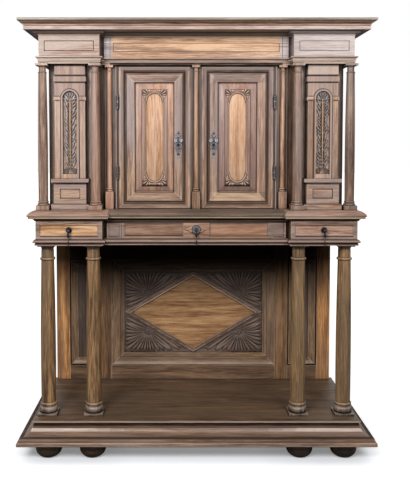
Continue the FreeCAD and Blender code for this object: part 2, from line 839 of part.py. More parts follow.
def pull_drop(x, y, z):
    """The hanging drop: an eye round the pin, a shoulder, a swelling and a small end ball."""
    eye = Part.makeCylinder(pull_ear_radius, pull_eye_thickness,
                            vec(x - pull_eye_thickness / 2, y, z), vec(1, 0, 0))
    length = pull_drop_length
    tip = pull_tip_radius
    profile = [(0, -length), (tip, -length + tip, quarter_share),
               (pull_tail_radius, -length + tip * 2, quarter_share),
               (pull_tail_radius, -length * pull_tail_share),
               (pull_belly_radius, -length * pull_belly_share, -gentle_share),
               (pull_neck_radius, -length * pull_shoulder_share, gentle_share),
               (pull_neck_radius, -pull_pin_radius * 2), (0, -pull_pin_radius * 2)]
    bore = Part.makeCylinder(pull_pin_radius + pull_pin_clear, pull_eye_thickness * 2,
                             vec(x - pull_eye_thickness, y, z), vec(1, 0, 0))
    return eye.fuse(turned(profile, x, y, z)).removeSplitter().cut(bore)


def make_drawers():
    z0 = drawer_zone_bottom + front_bottom_gap
    z1 = drawer_zone_top - front_top_gap
    pull_z = z0 + (z1 - z0) * pull_height_share
    x0 = tier_block_inner + front_side_gap
    x1 = tier_half - front_side_gap
    plate_rear = tier_front + front_thickness
    margin = front_frame_width
    plate = box(x0, x1, tier_front, plate_rear, z0, z1)
    plate = plate.cut(sunk_panel(x0 + margin, x1 - margin, z0 + margin, z1 - margin, tier_front))
    inner_wall = tier_block_inner + case_inner_wall_thickness
    tray = drawer_box(inner_wall + drawer_play, tier_half - case_wall_thickness - drawer_play,
                      plate_rear)
    pull_x = (x0 + x1) / 2
    drop_y = tier_front - tier_tip_out - pull_reach
    back_plate = pull_plate(pull_x, tier_front + front_sink, pull_z, drop_y,
                            end_plate_radius)
    drop = pull_drop(pull_x, drop_y, pull_z)
    for side, turn in (("right", lambda shape: shape), ("left", mirrored)):
        save(side + "_drawer_front", [turn(plate)])
        save(side + "_drawer_box", [turn(solid) for solid in tray])
        save(side + "_pull_plate", [turn(back_plate)])
        save(side + "_pull_drop", [turn(drop)])
    half = tier_centre_half - post_width - centre_front_gap
    plate_rear = tier_centre_front + front_thickness
    plate = box(-half, half, tier_centre_front, plate_rear, z0, z1)
    cutter = sunk_panel(centre_plain_half, half - centre_panel_gap, z0 + centre_panel_gap,
                        z1 - centre_panel_gap, tier_centre_front)
    plate = plate.cut(cutter).cut(mirrored(cutter))
    lozenge_y = tier_centre_front - centre_lozenge_height
    plate = plate.fuse(raised_lozenge(pull_z, tier_centre_front, lozenge_y)).removeSplitter()
    save("centre_drawer_front", [plate])
    save("centre_drawer_box", drawer_box(-half, half, plate_rear))
    drop_y = tier_centre_front - tier_tip_out - pull_reach
    save("centre_pull_plate", [pull_plate(0, lozenge_y, pull_z, drop_y, centre_plate_radius)])
    save("centre_pull_drop", [pull_drop(0, drop_y, pull_z)])


def make_waist():
    save("waist_board", [plan_board(tier_path, waist_board_bottom, waist_top)])
    steps = [(0, 0), (waist_foot_out, 0), (waist_cavetto_out, waist_cavetto_height, -quarter_share),
             (waist_fillet_out, waist_cavetto_height), (waist_fillet_out, waist_fillet_height),
             (waist_tip_out, waist_tip_low), (waist_tip_out, waist_tip_high),
             (waist_top_out, waist_height, quarter_share / 2), (0, waist_height)]
    save("waist_moulding", lifted(mouldings_around(steps, tier_path), drawer_zone_top))


def make_upper_columns():
    ring_bottom = upper_plinth_height + upper_torus_height + upper_groove_height
    shaft_bottom = ring_bottom + upper_ring_height
    echinus_top = upper_column_height - upper_abacus_height
    echinus_bottom = echinus_top - upper_echinus_height
    astragal_top = echinus_bottom - upper_neck_height
    shaft_top = astragal_top - upper_astragal_height
    turning = [(0, 0), (upper_groove_radius, 0), (upper_groove_radius, upper_plinth_height),
               (upper_groove_radius, upper_plinth_height + upper_torus_height,
                (upper_torus_radius - upper_groove_radius) / upper_torus_height),
               (upper_groove_radius, ring_bottom),
               (upper_groove_radius, shaft_bottom,
                (upper_ring_radius - upper_groove_radius) / upper_ring_height),
               (upper_shaft_foot_radius, shaft_bottom),
               (upper_shaft_top_radius, shaft_top, shaft_share),
               (upper_shaft_top_radius, astragal_top,
                (upper_astragal_radius - upper_shaft_top_radius) / upper_astragal_height),
               (upper_neck_radius, astragal_top), (upper_neck_radius, echinus_bottom),
               (upper_echinus_radius, echinus_top, -quarter_share),
               (upper_echinus_radius, upper_column_height), (0, upper_column_height)]
    plinth = (upper_plinth_width, upper_plinth_height)
    abacus = (upper_abacus_width, upper_abacus_height)
    right = [column(x, upper_column_y, waist_top, upper_column_height, plinth, turning, abacus)
             for x in (upper_inner_column_x, upper_column_x)]
    save("upper_columns", pair(right))


def arch_steps(x, radius, z0, spring):
    """A round-headed outline in (x, z) about the upright line at x."""
    return [(x - radius, z0), (x - radius, spring), (x, spring + radius, -quarter_share),
            (x + radius, spring, -quarter_share), (x + radius, z0)]


def make_niches():
    x = niche_x
    plinth_y = upper_front + niche_plinth_front
    die_y = upper_front + niche_die_front
    panel_y = upper_front + niche_front
    wide = niche_plinth_width / 2
    die = niche_die_width / 2
    die_bottom = waist_top + niche_plinth_height
    cap_bottom = die_bottom + niche_die_height
    cap_top = cap_bottom + niche_cap_height
    inset_top = cap_bottom - niche_inset_drop
    pedestal = box(x - die, x + die, die_y, corner_board_front, waist_top, cap_top)
    pedestal = pedestal.fuse([
        box(x - wide, x + wide, plinth_y, corner_board_front, waist_top, die_bottom),
        box(x - wide, x + wide, plinth_y, corner_board_front, cap_bottom + niche_cap_edge, cap_top)])
    inset = box(x - niche_inset_width / 2, x + niche_inset_width / 2, die_y - cut_over,
                die_y + niche_inset_depth, inset_top - niche_inset_height, inset_top)
    save("niche_pedestals", pair([pedestal.removeSplitter().cut(inset)]))
    half = niche_width / 2
    panel = box(x - half, x + half, panel_y, corner_board_front, cap_top, architrave_bottom)
    spring = architrave_bottom - niche_arch_top_drop - niche_arch_radius
    sill = cap_top + niche_sill
    ring_radius = niche_arch_radius + niche_ring_width
    ring = upright_plate(arch_steps(x, ring_radius, cap_top, spring),
                         panel_y - niche_ring_height, panel_y)
    trench = upright_plate(arch_steps(x, ring_radius + niche_ring_groove, cap_top, spring),
                           panel_y - cut_over, panel_y + niche_band_groove / 2)
    panel = panel.cut(trench.cut(upright_plate(arch_steps(x, ring_radius, cap_top, spring),
                                               panel_y - cut_over, corner_board_front)))
    wide = half + niche_impost_out
    band_top = architrave_bottom - niche_band_first_drop
    band_bottom = architrave_bottom - niche_band_second_drop + niche_band_groove
    impost_bottom = architrave_bottom - niche_impost_drop
    raised = [ring]
    for low, high in ((band_bottom, band_top), (impost_bottom, impost_bottom + niche_impost_height)):
        raised.append(box(x - wide, x + wide, panel_y - niche_impost_out, corner_board_front, low, high))
    panel = panel.fuse(raised).removeSplitter()
    recess = upright_plate(arch_steps(x, niche_arch_radius, sill, spring),
                           panel_y - niche_ring_height - cut_over, panel_y + niche_arch_depth)
    panel = panel.cut(recess)
    sunk = niche_band_groove / 2
    for drop in (niche_band_first_drop, niche_band_second_drop):
        z = architrave_bottom - drop
        groove = box(x - wide, x + wide, panel_y - niche_impost_out, corner_board_front,
                     z, z + niche_band_groove)
        core = box(x - half + sunk, x + half - sunk, panel_y + sunk, corner_board_front,
                   z, z + niche_band_groove)
        panel = panel.cut(groove.cut(core))
    save("niche_panels", pair([panel]))


def make_upper_case():
    levels = (waist_top, architrave_bottom)
    save("corner_boards", pair([box(upper_centre_half, case_half, corner_board_front,
                                    corner_board_rear, *levels)]))
    side_y0 = corner_board_rear
    stile_front = side_y0 + side_stile_width
    stile_rear = case_rear - side_stile_width
    low = waist_top + side_rail_height
    high = architrave_bottom - side_rail_height
    frames = [box(case_inner_half, case_half, side_y0, stile_front, *levels),
              box(case_inner_half, case_half, stile_rear, case_rear, *levels),
              box(case_inner_half, case_half, stile_front, stile_rear, waist_top, low),
              box(case_inner_half, case_half, stile_front, stile_rear, high, architrave_bottom)]
    save("side_frames", pair(frames))
    face_x = case_half - side_panel_recess
    y0, y1 = stile_front + panel_play, stile_rear - panel_play
    z0, z1 = low + panel_play, high - panel_play
    table_x = face_x - side_panel_rise
    panel = box(face_x - side_panel_thickness, table_x, y0, y1, z0, z1)
    wires = []
    for inset, x in ((0, table_x), (side_panel_bevel, face_x)):
        corners = [(y0 + inset, z0 + inset), (y1 - inset, z0 + inset), (y1 - inset, z1 - inset),
                   (y0 + inset, z1 - inset), (y0 + inset, z0 + inset)]
        wires.append(Part.makePolygon([vec(x, y, z) for y, z in corners]))
    panel = panel.fuse(Part.makeLoft(wires, True, True)).removeSplitter()
    save("side_panels", pair([panel]))
    plank_width = case_inner_half * 2 / back_plank_count
    planks = []
    for i in range(back_plank_count):
        x0 = -case_inner_half + plank_width * i
        planks.append(box(x0, x0 + plank_width, case_inner_rear, case_rear, *levels))
    half = upper_half - frieze_board_thickness
    planks.append(box(-half, half, case_inner_rear, case_rear, ceiling_top, crown_bottom))
    save("cabinet_back", planks)
    shelf_bottom = waist_top + shelf_height
    shelf_front = post_rear + shelf_front_gap
    shelf = box(-case_inner_half + shelf_play, case_inner_half - shelf_play, shelf_front,
                case_inner_rear - shelf_play, shelf_bottom, shelf_bottom + shelf_thickness)
    bearer = box(case_inner_half - shelf_bearer_width, case_inner_half, shelf_front,
                 case_inner_rear, shelf_bottom - shelf_bearer_height, shelf_bottom)
    save("cabinet_shelf", [shelf] + pair([bearer]))
    pocket_y0 = door_rear + lock_wall - bolt_pocket_clear
    pocket_z0 = waist_top + lock_height - bolt_tall / 2 - bolt_pocket_clear
    pocket = box(centre_post_half - bolt_throw, centre_post_half + cut_over, pocket_y0,
                 pocket_y0 + bolt_thick + bolt_pocket_clear * 2, pocket_z0,
                 pocket_z0 + bolt_tall + bolt_pocket_clear * 2)
    post = box(-centre_post_half, centre_post_half, post_front, post_rear, *levels)
    posts = pair([box(jamb_x, upper_centre_half, post_front, post_rear, *levels)])
    posts.append(post.cut(pocket).cut(mirrored(pocket)))
    save("door_posts", posts)
    save("cabinet_ceiling", [plan_board(upper_path, architrave_bottom, ceiling_top)])


def half_column(x):
    """A pedestal and a slim engaged column on the face of a door post."""
    z = waist_top
    half = half_column_pedestal_width / 2
    y0 = post_front - half_column_pedestal_depth
    axis_y = post_front - half_column_axis_gap
    height = upper_column_height
    base = half_column_pedestal_height
    ring = half_column_ring_height
    groove = half_column_radius + (half_column_ring_radius - half_column_radius) / 2
    swell = (half_column_ring_radius - groove) / ring
    shaft = base + half_column_base_height
    neck = height - half_column_abacus_height - half_column_capital_height
    profile = [(0, base), (groove, base), (groove, base + ring, swell),
               (half_column_radius, base + ring), (half_column_radius, shaft - ring),
               (half_column_radius, shaft, (half_column_ring_radius - half_column_radius) / ring),
               (half_column_top_radius, neck), (half_column_top_radius, neck + ring, swell),
               (half_column_neck_radius, neck + ring),
               (half_column_neck_radius, height - half_column_abacus_height - ring),
               (half_column_ring_radius, height - half_column_abacus_height, -quarter_share),
               (0, height - half_column_abacus_height)]
    body = turned(profile, x, axis_y, z)
    front_half = box(x - half, x + half, y0, post_front, z, z + height)
    blocks = [box(x - half, x + half, y0, post_front, z, z + base),
              box(x - half, x + half, y0, post_front, z + height - half_column_abacus_height,
                  z + height)]
    return body.common(front_half).fuse(blocks).removeSplitter()


def door_field(x0, x1, z0, z1):
    """The outline of a door panel's sunk field: a round arch between shoulders at both ends."""
    x = (x0 + x1) / 2
    shoulder = door_width * door_field_shoulder_share
    a0, a1 = x0 + shoulder, x1 - shoulder
    rise = x - a0
    low, high = z0 + rise, z1 - rise
    return [(x0, low), (x0, high), (a0, high), (x, z1, -quarter_share), (a1, high, -quarter_share),
            (x1, high), (x1, low), (a1, low), (x, z0, -quarter_share), (a0, low, -quarter_share)]


def hinge_parts(z):
    """Fixed half with its pin, and turning half, of a right-hand barrel hinge centred at z."""
    reach = hinge_half_length
    tip = hinge_finial_length
    ball = hinge_finial_radius
    lower = [(0, -reach - tip), (ball / 4, -reach - tip), (ball, -reach - tip / 2, quarter_share),
             (ball / 2, -reach, quarter_share), (hinge_radius, -reach), (hinge_radius, 0),
             (hinge_pin_radius, 0), (hinge_pin_radius, hinge_pin_length), (0, hinge_pin_length)]
    bore = hinge_pin_radius + hinge_pin_clear
    bore_top = hinge_pin_length + hinge_pin_end_gap
    upper = [(0, hinge_joint_gap), (hinge_radius, hinge_joint_gap), (hinge_radius, reach),
             (ball / 2, reach), (ball, reach + tip / 2, quarter_share),
             (ball / 4, reach + tip, quarter_share), (0, reach + tip)]
    leaf_rear = hinge_y + hinge_leaf_length
    leaf_start = hinge_y - hinge_pin_radius
    inset = hinge_leaf_inset
    fixed_leaf = box(jamb_x - hinge_leaf_thickness, jamb_x, leaf_start, leaf_rear,
                     z - reach + inset, z - inset)
    door_leaf = box(door_edge_x, door_edge_x + hinge_leaf_thickness, leaf_start, leaf_rear,
                    z + inset, z + reach - inset)
    hollow = Part.makeCylinder(bore, bore_top, vec(hinge_x, hinge_y, z))
    fixed = turned(lower, hinge_x, hinge_y, z).fuse(fixed_leaf).removeSplitter()
    turning = turned(upper, hinge_x, hinge_y, z).fuse(door_leaf).removeSplitter().cut(hollow)
    return fixed, turning


def key_plate(x, z, y):
    """A tall forged plate with its back at y: crown, scrolls, lower band and drop, pierced."""
    half = key_plate_width / 2
    tall = key_plate_height / 2
    right = [(x + half * a, z + tall * b) for a, b in key_plate_shares]
    left = [(x - half * a, z + tall * b) for a, b in reversed(key_plate_shares[1:-1])]
    plate = upright_plate(right + left, y - key_plate_thickness, y)
    for a, b in key_eye_shares:
        eye_start = vec(x + half * a, y - key_plate_thickness - cut_over, z + tall * b)
        eye_length = key_plate_thickness + cut_over * 2
        plate = plate.cut(Part.makeCylinder(key_eye_radius * (1 - abs(a) / 2), eye_length,
                                            eye_start, vec(0, 1, 0)))
    return plate


def make_doors():
    x0, x1, z0, z1 = door_inner_x, door_edge_x, door_bottom, door_top
    deep = door_thickness
    band = door_member_width * door_band_share
    bead_start = door_member_width * door_bead_start_share
    bead_end = door_member_width * door_bead_end_share
    flat = deep - door_flat_drop
    steps = [(0, 0), (0, deep), (band, deep), (bead_start, deep - door_band_drop),
             (bead_start, deep - door_bead_drop),
             (bead_end, deep - door_bead_drop, -gentle_share), (bead_end, flat),
             (door_member_width - door_inner_step, flat),
             (door_member_width, deep - door_inner_drop),
             (door_member_width, 0)]
    members = stood_up(mouldings_around(steps, framed_path(x0, x1, z0, z1), True), door_rear)
    lock_z = waist_top + lock_height
    plate_x = door_inner_x + door_member_width * key_plate_place_share
    flat_y = door_front + door_flat_drop
    key_hole = Part.makeCylinder(key_hole_radius, key_hole_depth + cut_over,
                                 vec(plate_x, flat_y - key_plate_thickness - cut_over, lock_z),
                                 vec(0, 1, 0))
    key_slot = box(plate_x - key_slot_width / 2, plate_x + key_slot_width / 2,
                   flat_y - key_plate_thickness - cut_over, flat_y - key_plate_thickness
                   + key_hole_depth, lock_z - key_slot_length, lock_z)
    hole = key_hole.fuse(key_slot)
    members = [member.cut(hole) for member in members]
    play = panel_play
    px0, px1 = x0 + door_member_width + play, x1 - door_member_width - play
    pz0, pz1 = z0 + door_member_width + play, z1 - door_member_width - play
    panel_rear = door_rear - door_panel_back
    table_y = panel_rear - door_panel_thickness
    top_y = table_y - door_panel_rise
    panel = box(px0, px1, table_y, panel_rear, pz0, pz1)
    bevel = door_width * door_panel_bevel_share
    raised = bevelled(px0, px1, pz0, pz1, table_y, top_y, bevel)
    margin = bevel + door_width * door_field_margin_share
    field = upright_plate(door_field(px0 + margin, px1 - margin, pz0 + margin, pz1 - margin),
                          top_y - cut_over, top_y + door_field_sink)
    panel = panel.fuse(raised).removeSplitter().cut(field)
    plate = key_plate(plate_x, lock_z, flat_y).cut(hole)
    lock_x = door_inner_x + lock_edge_gap
    case = box(lock_x, lock_x + lock_length, door_rear, door_rear + lock_thick,
               lock_z - lock_tall / 2, lock_z + lock_tall / 2)
    bolt_y = door_rear + lock_wall
    bolt_z = lock_z - bolt_tall / 2
    channel = box(lock_x - cut_over, lock_x + bolt_length + bolt_clear, bolt_y - bolt_clear,
                  bolt_y + bolt_thick + bolt_clear, bolt_z - bolt_clear,
                  bolt_z + bolt_tall + bolt_clear)
    bolt = box(lock_x, lock_x + bolt_length, bolt_y, bolt_y + bolt_thick, bolt_z, bolt_z + bolt_tall)
    lock = case.cut(channel)
    hinges = [hinge_parts(waist_top + height) for height in (hinge_low_height, hinge_high_height)]
    for side, turn in (("right", lambda shape: shape), ("left", mirrored)):
        save(side + "_door_frame", [turn(member) for member in members])
        save(side + "_door_panel", [turn(panel)])
        save(side + "_door_lock", [turn(lock), turn(plate)])
        save(side + "_lock_bolt", [turn(bolt)])
        save(side + "_door_hinges", [turn(turning) for fixed, turning in hinges])
    save("hinge_pins", pair([fixed for fixed, turning in hinges]))
    save("door_columns", pair([half_column(half_column_x)]) + [half_column(0)])


def make_entablature():
    fillet_bottom = architrave_height - architrave_fillet_height
    cavetto_bottom = fillet_bottom - architrave_cavetto_height
    steps = [(0, 0), (architrave_lower_out, 0), (architrave_lower_out, architrave_lower_height),
             (architrave_fascia_out, architrave_lower_height),
             (architrave_fascia_out, cavetto_bottom), (architrave_cavetto_out, cavetto_bottom),
             (architrave_fillet_out, fillet_bottom, -quarter_share),
             (architrave_fillet_out, architrave_height), (0, architrave_height)]
    save("architrave_moulding", lifted(mouldings_around(steps, upper_path), architrave_bottom))
    step_out = bed_out * bed_step_share
    step_up = bed_height * bed_step_share
    steps = [(0, 0), (bed_lip, 0), (step_out, step_up, -quarter_share), (step_out + bed_lip, step_up),
             (bed_out, bed_height - bed_lip, quarter_share), (bed_out, bed_height), (0, bed_height)]
    save("bed_moulding", lifted(mouldings_around(steps, upper_path), frieze_top))
    board = frieze_board_thickness
    levels = (ceiling_top, crown_bottom)
    face = box(upper_block_inner, upper_half, upper_front, upper_front + board, *levels)
    face = face.cut(groove_ring(upper_block_inner + frieze_panel_margin_x,
                                upper_half - frieze_panel_margin_x,
                                frieze_bottom + frieze_panel_margin_z,
                                frieze_top - frieze_panel_margin_z, upper_front,
                                frieze_groove_width, frieze_groove_depth))
    outer = box(upper_half - board, upper_half, upper_front + board, case_rear, *levels)
    inner = box(upper_block_inner, upper_block_inner + board, upper_front + board,
                upper_recess, *levels)
    save("end_friezes", pair([face, outer, inner]))
    centre = box(-upper_centre_half, upper_centre_half, upper_centre_front, upper_recess, *levels)
    centre = centre.cut(groove_ring(-upper_centre_half + centre_panel_margin_x,
                                    upper_centre_half - centre_panel_margin_x,
                                    frieze_bottom + centre_panel_margin_z,
                                    frieze_top - centre_panel_margin_z, upper_centre_front,
                                    frieze_groove_width, frieze_groove_depth))
    for side in (1, -1):
        joint = side * (upper_centre_half - frieze_stile_width)
        centre = centre.cut(box(joint - frieze_joint_width / 2, joint + frieze_joint_width / 2,
                                upper_centre_front - cut_over, upper_centre_front + frieze_joint_width,
                                frieze_bottom, frieze_top))
    backing = box(-upper_block_inner - board, upper_block_inner + board, upper_recess,
                  upper_recess + board, *levels)
    save("centre_frieze", [centre, backing])
    crown_path = [(-upper_half, case_rear), (-upper_half, upper_front), (upper_half, upper_front),
                  (upper_half, case_rear)]
    steps = [(0, 0), (crown_fascia_out, 0), (crown_fascia_out, crown_fascia_height),
             (crown_quirk_in, crown_fascia_height), (crown_quirk_in, crown_quirk_height),
             (crown_cove_foot_out, crown_quirk_height),
             (crown_cove_out, crown_cove_height, -quarter_share), (crown_cove_out, crown_height),
             (0, crown_height)]
    save("crown_moulding", lifted(mouldings_around(steps, crown_path), crown_bottom))
    board_top = crown_bottom + crown_board_thickness
    carcass = [box(-upper_half, upper_half, upper_front, case_rear, crown_bottom, board_top)]
    for x in (-upper_block_inner, 0, upper_block_inner):
        carcass.append(box(x - bearer_width / 2, x + bearer_width / 2, upper_front, case_rear,
                           board_top, top_board_bottom))
    save("crown_boards", carcass)
    top = moulded_board(upper_half + crown_top_out, upper_front - crown_top_out, case_rear,
                        top_board_bottom, round_edge(top_board_thickness, crown_edge_round))
    save("top_board", [top])


os.makedirs("parts", exist_ok=True)
make_base()
make_lower_columns()
make_back()
make_tier()
make_drawers()
make_waist()
make_upper_columns()
make_niches()
make_upper_case()
make_doors()
make_entablature()
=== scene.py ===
# %% [markdown]
# # A court cupboard in old oak
# The cupboard's construction comes as a fixed frame: every board, column, moulding, hinge and
# drawer is already there at its real size. This lesson adds what only Blender can show: the
# carving, the chasing of the iron, the patina of long use, wax and dust, the light and the camera.

import json
import math
import random

import bmesh
import bpy
from mathutils import Matrix, Vector

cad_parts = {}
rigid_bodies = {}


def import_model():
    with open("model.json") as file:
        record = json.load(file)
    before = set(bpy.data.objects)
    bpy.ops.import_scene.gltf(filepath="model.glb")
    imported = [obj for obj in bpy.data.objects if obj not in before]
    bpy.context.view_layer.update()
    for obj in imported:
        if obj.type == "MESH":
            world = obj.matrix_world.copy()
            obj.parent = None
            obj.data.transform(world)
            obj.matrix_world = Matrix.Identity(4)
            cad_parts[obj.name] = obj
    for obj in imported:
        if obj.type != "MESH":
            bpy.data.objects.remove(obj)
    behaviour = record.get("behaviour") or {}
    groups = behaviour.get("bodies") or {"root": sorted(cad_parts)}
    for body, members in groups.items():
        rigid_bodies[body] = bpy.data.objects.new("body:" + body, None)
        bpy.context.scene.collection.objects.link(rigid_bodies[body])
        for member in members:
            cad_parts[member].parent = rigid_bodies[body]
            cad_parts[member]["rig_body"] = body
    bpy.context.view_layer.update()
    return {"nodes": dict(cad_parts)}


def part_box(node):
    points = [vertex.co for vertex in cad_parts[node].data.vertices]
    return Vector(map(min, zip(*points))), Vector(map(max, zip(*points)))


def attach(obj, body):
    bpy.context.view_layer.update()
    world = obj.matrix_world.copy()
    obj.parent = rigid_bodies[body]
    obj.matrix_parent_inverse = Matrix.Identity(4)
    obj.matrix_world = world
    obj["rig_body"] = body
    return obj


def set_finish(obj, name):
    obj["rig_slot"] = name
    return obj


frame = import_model()
nodes = frame["nodes"]
MM = 0.001

# %% [markdown]
# Colours are written as they would be picked from a screen, in sRGB. Blender's shaders work in
# linear light, so one function turns the hex value into linear numbers. One small function adds
# a shader node with its settings and links. Its inputs are given by name, or as a list in the
# order in which the node shows them: Map Range shows the value, the two ends of the range it
# comes from and the two ends of the range it goes to. A node stands for its first output.

# %% Colour and node helpers


def linear(hex_colour):
    values = [int(hex_colour[i:i + 2], 16) / 255 for i in (1, 3, 5)]
    straight = [v / 12.92 if v <= 0.04045 else ((v + 0.055) / 1.055) ** 2.4 for v in values]
    return (*straight, 1.0)


def fill(tree, node, inputs):
    """Gives inputs of a node a value, a colour, another node or one of another node's outputs."""
    if not isinstance(inputs, dict):
        shown = [place for place, socket in enumerate(node.inputs) if socket.enabled]
        inputs = dict(zip(shown, inputs))
    for name, value in inputs.items():
        if isinstance(value, bpy.types.Node):
            value = next(socket for socket in value.outputs if socket.enabled)
        if isinstance(value, bpy.types.NodeSocket):
            tree.links.new(value, node.inputs[name])
        else:
            node.inputs[name].default_value = linear(value) if isinstance(value, str) else value


def add(tree, kind, inputs=(), operation=None, stops=None, **settings):
    """Adds a node. Stops are the three places and the three colours of a colour ramp."""
    node = tree.nodes.new("ShaderNode" + kind)
    if operation:
        node.operation = operation
    for name, value in settings.items():
        setattr(node, name, value)
    fill(tree, node, inputs)
    if stops:
        places, colours = stops
        node.color_ramp.elements.new(0.5)
        for element, place, colour in zip(node.color_ramp.elements, places, colours.split()):
            element.position = place
            element.color = linear(colour)
    return node


def new_material(name):
    """An empty material, with its tree and its shader."""
    material = bpy.data.materials.new(name)
    material.use_nodes = True
    return material, material.node_tree, material.node_tree.nodes["Principled BSDF"]


def dress(names, material):
    """Gives CAD nodes their material; their meshes stay as they are."""
    for name in names:
        mesh = nodes[name].data
        mesh.materials.clear()
        mesh.materials.append(material)


print("helpers ready: #808080 is", round(linear("#808080")[0], 3), "in linear light")

# %% [markdown]
# Oak grain is long along the tree and fine across it. A noise pattern gives that when its
# coordinates are scaled unequally, so the first thing is a place on the wood whose X runs along
# the grain. Boards that lie across the front run along X, uprights along Z. Mouldings that
# return along the sides turn with the surface. In a mitred frame the grain changes at the mitre,
# where the way to the upright edge equals the way to the level edge.

# %% Where the grain runs
NARROW_PANELS = 0.42   # the narrow back panels, which are upright, lie farther out than this
TURNED = 0.6           # a surface that looks this much sideways belongs to a return


def grain_place(tree, along):
    """The place on the wood in metres, turned so that X follows the grain."""
    place = add(tree, "TexCoord").outputs["Object"]
    x, y, z = add(tree, "SeparateXYZ", [place]).outputs
    upright = add(tree, "CombineXYZ", [z, x, y])
    inward = add(tree, "CombineXYZ", [y, x, z])
    if along in ("x", "z"):
        return place if along == "x" else upright
    out = add(tree, "Math", [x], "ABSOLUTE")
    if along == "x, upright at the sides":
        beside = add(tree, "Math", [out, NARROW_PANELS], "GREATER_THAN")
        return add(tree, "Mix", [beside, place, upright], data_type="VECTOR")
    if along == "round the sides":
        sideways = add(tree, "SeparateXYZ", [add(tree, "TexCoord").outputs["Normal"]])
        sideways = add(tree, "Math", [sideways], "ABSOLUTE")
        returned = add(tree, "Math", [sideways, TURNED], "GREATER_THAN")
        return add(tree, "Mix", [returned, place, inward], data_type="VECTOR")
    face, middle, height, half, half_height = along
    ways = []
    for at, centre in ((out if face == "front" else y, middle), (z, height)):
        off = add(tree, "Math", [at, centre * MM], "SUBTRACT")
        ways.append(add(tree, "Math", [off], "ABSOLUTE"))
    ways = add(tree, "Math", ways, "SUBTRACT")
    stile = add(tree, "Math", [ways, (half - half_height) * MM], "GREATER_THAN")
    rail = place if face == "front" else inward
    return add(tree, "Mix", [stile, rail, upright], data_type="VECTOR")


print("grain ways: x, z, both, round the sides, and mitred frames")

# %% [markdown]
# A field of another colour, a stain, a line of dirt, a painted shadow or a painted highlight has a
# known place on the cupboard. All of them are upright rounded rectangles, given in millimetres.
# One is drawn as all points that are nearer than the corner radius to a smaller rectangle. With no
# radius it is a lozenge, where the two ways from the middle add up.

# %% Shapes on the wood


def inside(tree, x, z, half_x, half_z, corner=1, soft=1.5, both=True):
    """1 inside a shape and 0 outside it, the same on both sides of the cupboard or on one."""
    place = add(tree, "TexCoord").outputs["Object"]
    place = add(tree, "VectorMath", [place, (1, 0, 1)], "MULTIPLY")
    if both:
        place = add(tree, "VectorMath", [place], "ABSOLUTE")
    off = add(tree, "VectorMath", [place, (x * MM, 0, z * MM)], "SUBTRACT")
    off = add(tree, "VectorMath", [off], "ABSOLUTE")
    if corner is None:
        sizes = (1 / (half_x * MM), 0, 1 / (half_z * MM))
        way = add(tree, "VectorMath", [off, sizes], "DOT_PRODUCT")
        return add(tree, "MapRange", [way, 1.01, 0.99])
    smaller = ((half_x - corner) * MM, 0, (half_z - corner) * MM)
    way = add(tree, "VectorMath", [off, smaller], "SUBTRACT")
    way = add(tree, "VectorMath", [way, (0, 0, 0)], "MAXIMUM")
    way = add(tree, "VectorMath", [way], "LENGTH")
    return add(tree, "MapRange", [way, (corner + soft) * MM, (corner - soft) * MM])


print("shapes: rounded rectangles and a lozenge")

# %% [markdown]
# The wood itself is oak, planed, waxed and handled for a very long time. The figure is made of
# broad growth bands, streaks a few millimetres wide and open pores. The pores of real oak are a
# quarter of a millimetre wide; here they are drawn about three times as coarse, or they would
# not show at all.

# %% The figure of the wood
GROWTH, STREAKS, PORES = (2.2, 34, 34), (14, 230, 230), (60, 1300, 1300)   # bands in a metre
PATCHES = (1.6, 15, 15)


def drawn_out(tree, place, bands, detail, roughness=0.62, distortion=0.0):
    """Noise that is long along the grain and narrow across it."""
    stretched = add(tree, "VectorMath", [place, bands], "MULTIPLY")
    return add(tree, "TexNoise", {"Vector": stretched, "Scale": 1.0, "Detail": detail,
                                  "Roughness": roughness, "Distortion": distortion})


def oak_figure(tree, place):
    """Three noises from 0 to 1: the figure, its streaks and the pores."""
    growth = drawn_out(tree, place, GROWTH, 5, distortion=0.9)
    streaks = drawn_out(tree, place, STREAKS, 5, distortion=0.3)
    return add(tree, "Mix", [0.45, growth, streaks]), streaks, drawn_out(tree, place, PORES, 2)


print("growth bands, streaks and pores, mm wide:",
      [round(1000 / bands[1], 1) for bands in (GROWTH, STREAKS, PORES)])

# %% [markdown]
# Old oak is darkest where it is closed in, beside mouldings and in the ground of carving, and
# rubbed pale on sharp edges. Ambient Occlusion finds both: it tells how closed in a point is,
# and turned inside out, how sharp the edge is. The darkening where it is closed in is old wax,
# soot and dirt together with painted shade.
# Some marks have known places. Stains are dirt or wear, such as the line in the groove round a
# raised panel, and also painted shadows and highlights where the shapes alone don't make the wood
# dark or pale enough: they are uneven, follow the streaks, and are matt. A darkening by height
# paints the shadow of the drawer tier on the back of the stage, more the higher up, and makes the
# door panels darker towards the bottom. Tints are on one side only; on the columns and on the
# right door they are painted light and shade, elsewhere one side is just paler or darker than the
# other. No such mark is on the faces that look to the rear.

# %% Marks of use, painted light and shade
# The dark colours of soot and shadow, of dirt and shadow, of old wax and shade, and of the
# darkening by height.
SOOT_AND_SHADOW, DIRT_AND_SHADOW, WAX_AND_SHADE_BROWN, DARKENING = "#0d0805", "#160d08", "#1c120c", "#0c0705"
STAIN_SOFT = 0.7       # mm


def closed_in(tree, reach, first, last, share, **settings):
    """From none to all of a share, as the openness within a reach goes from first to last."""
    open_air = add(tree, "AmbientOcclusion", {"Distance": reach * MM}, **settings).outputs["AO"]
    return add(tree, "MapRange", [open_air, first, last, 0.0, share])


def placed_mark(tree, uneven, x, z, half_x, half_z, corner=1, width=0):
    """A stain, a painted shadow or a painted highlight, all over its shape or as a line of some
    width along the edge of it.
    """
    stain = inside(tree, x, z, half_x, half_z, corner, STAIN_SOFT)
    if width:
        hole = inside(tree, x, z, half_x - width, half_z - width, max(corner - width, 1),
                      STAIN_SOFT)
        stain = add(tree, "Math", [stain, hole], "SUBTRACT")
    return add(tree, "Math", [stain, uneven], "MULTIPLY")


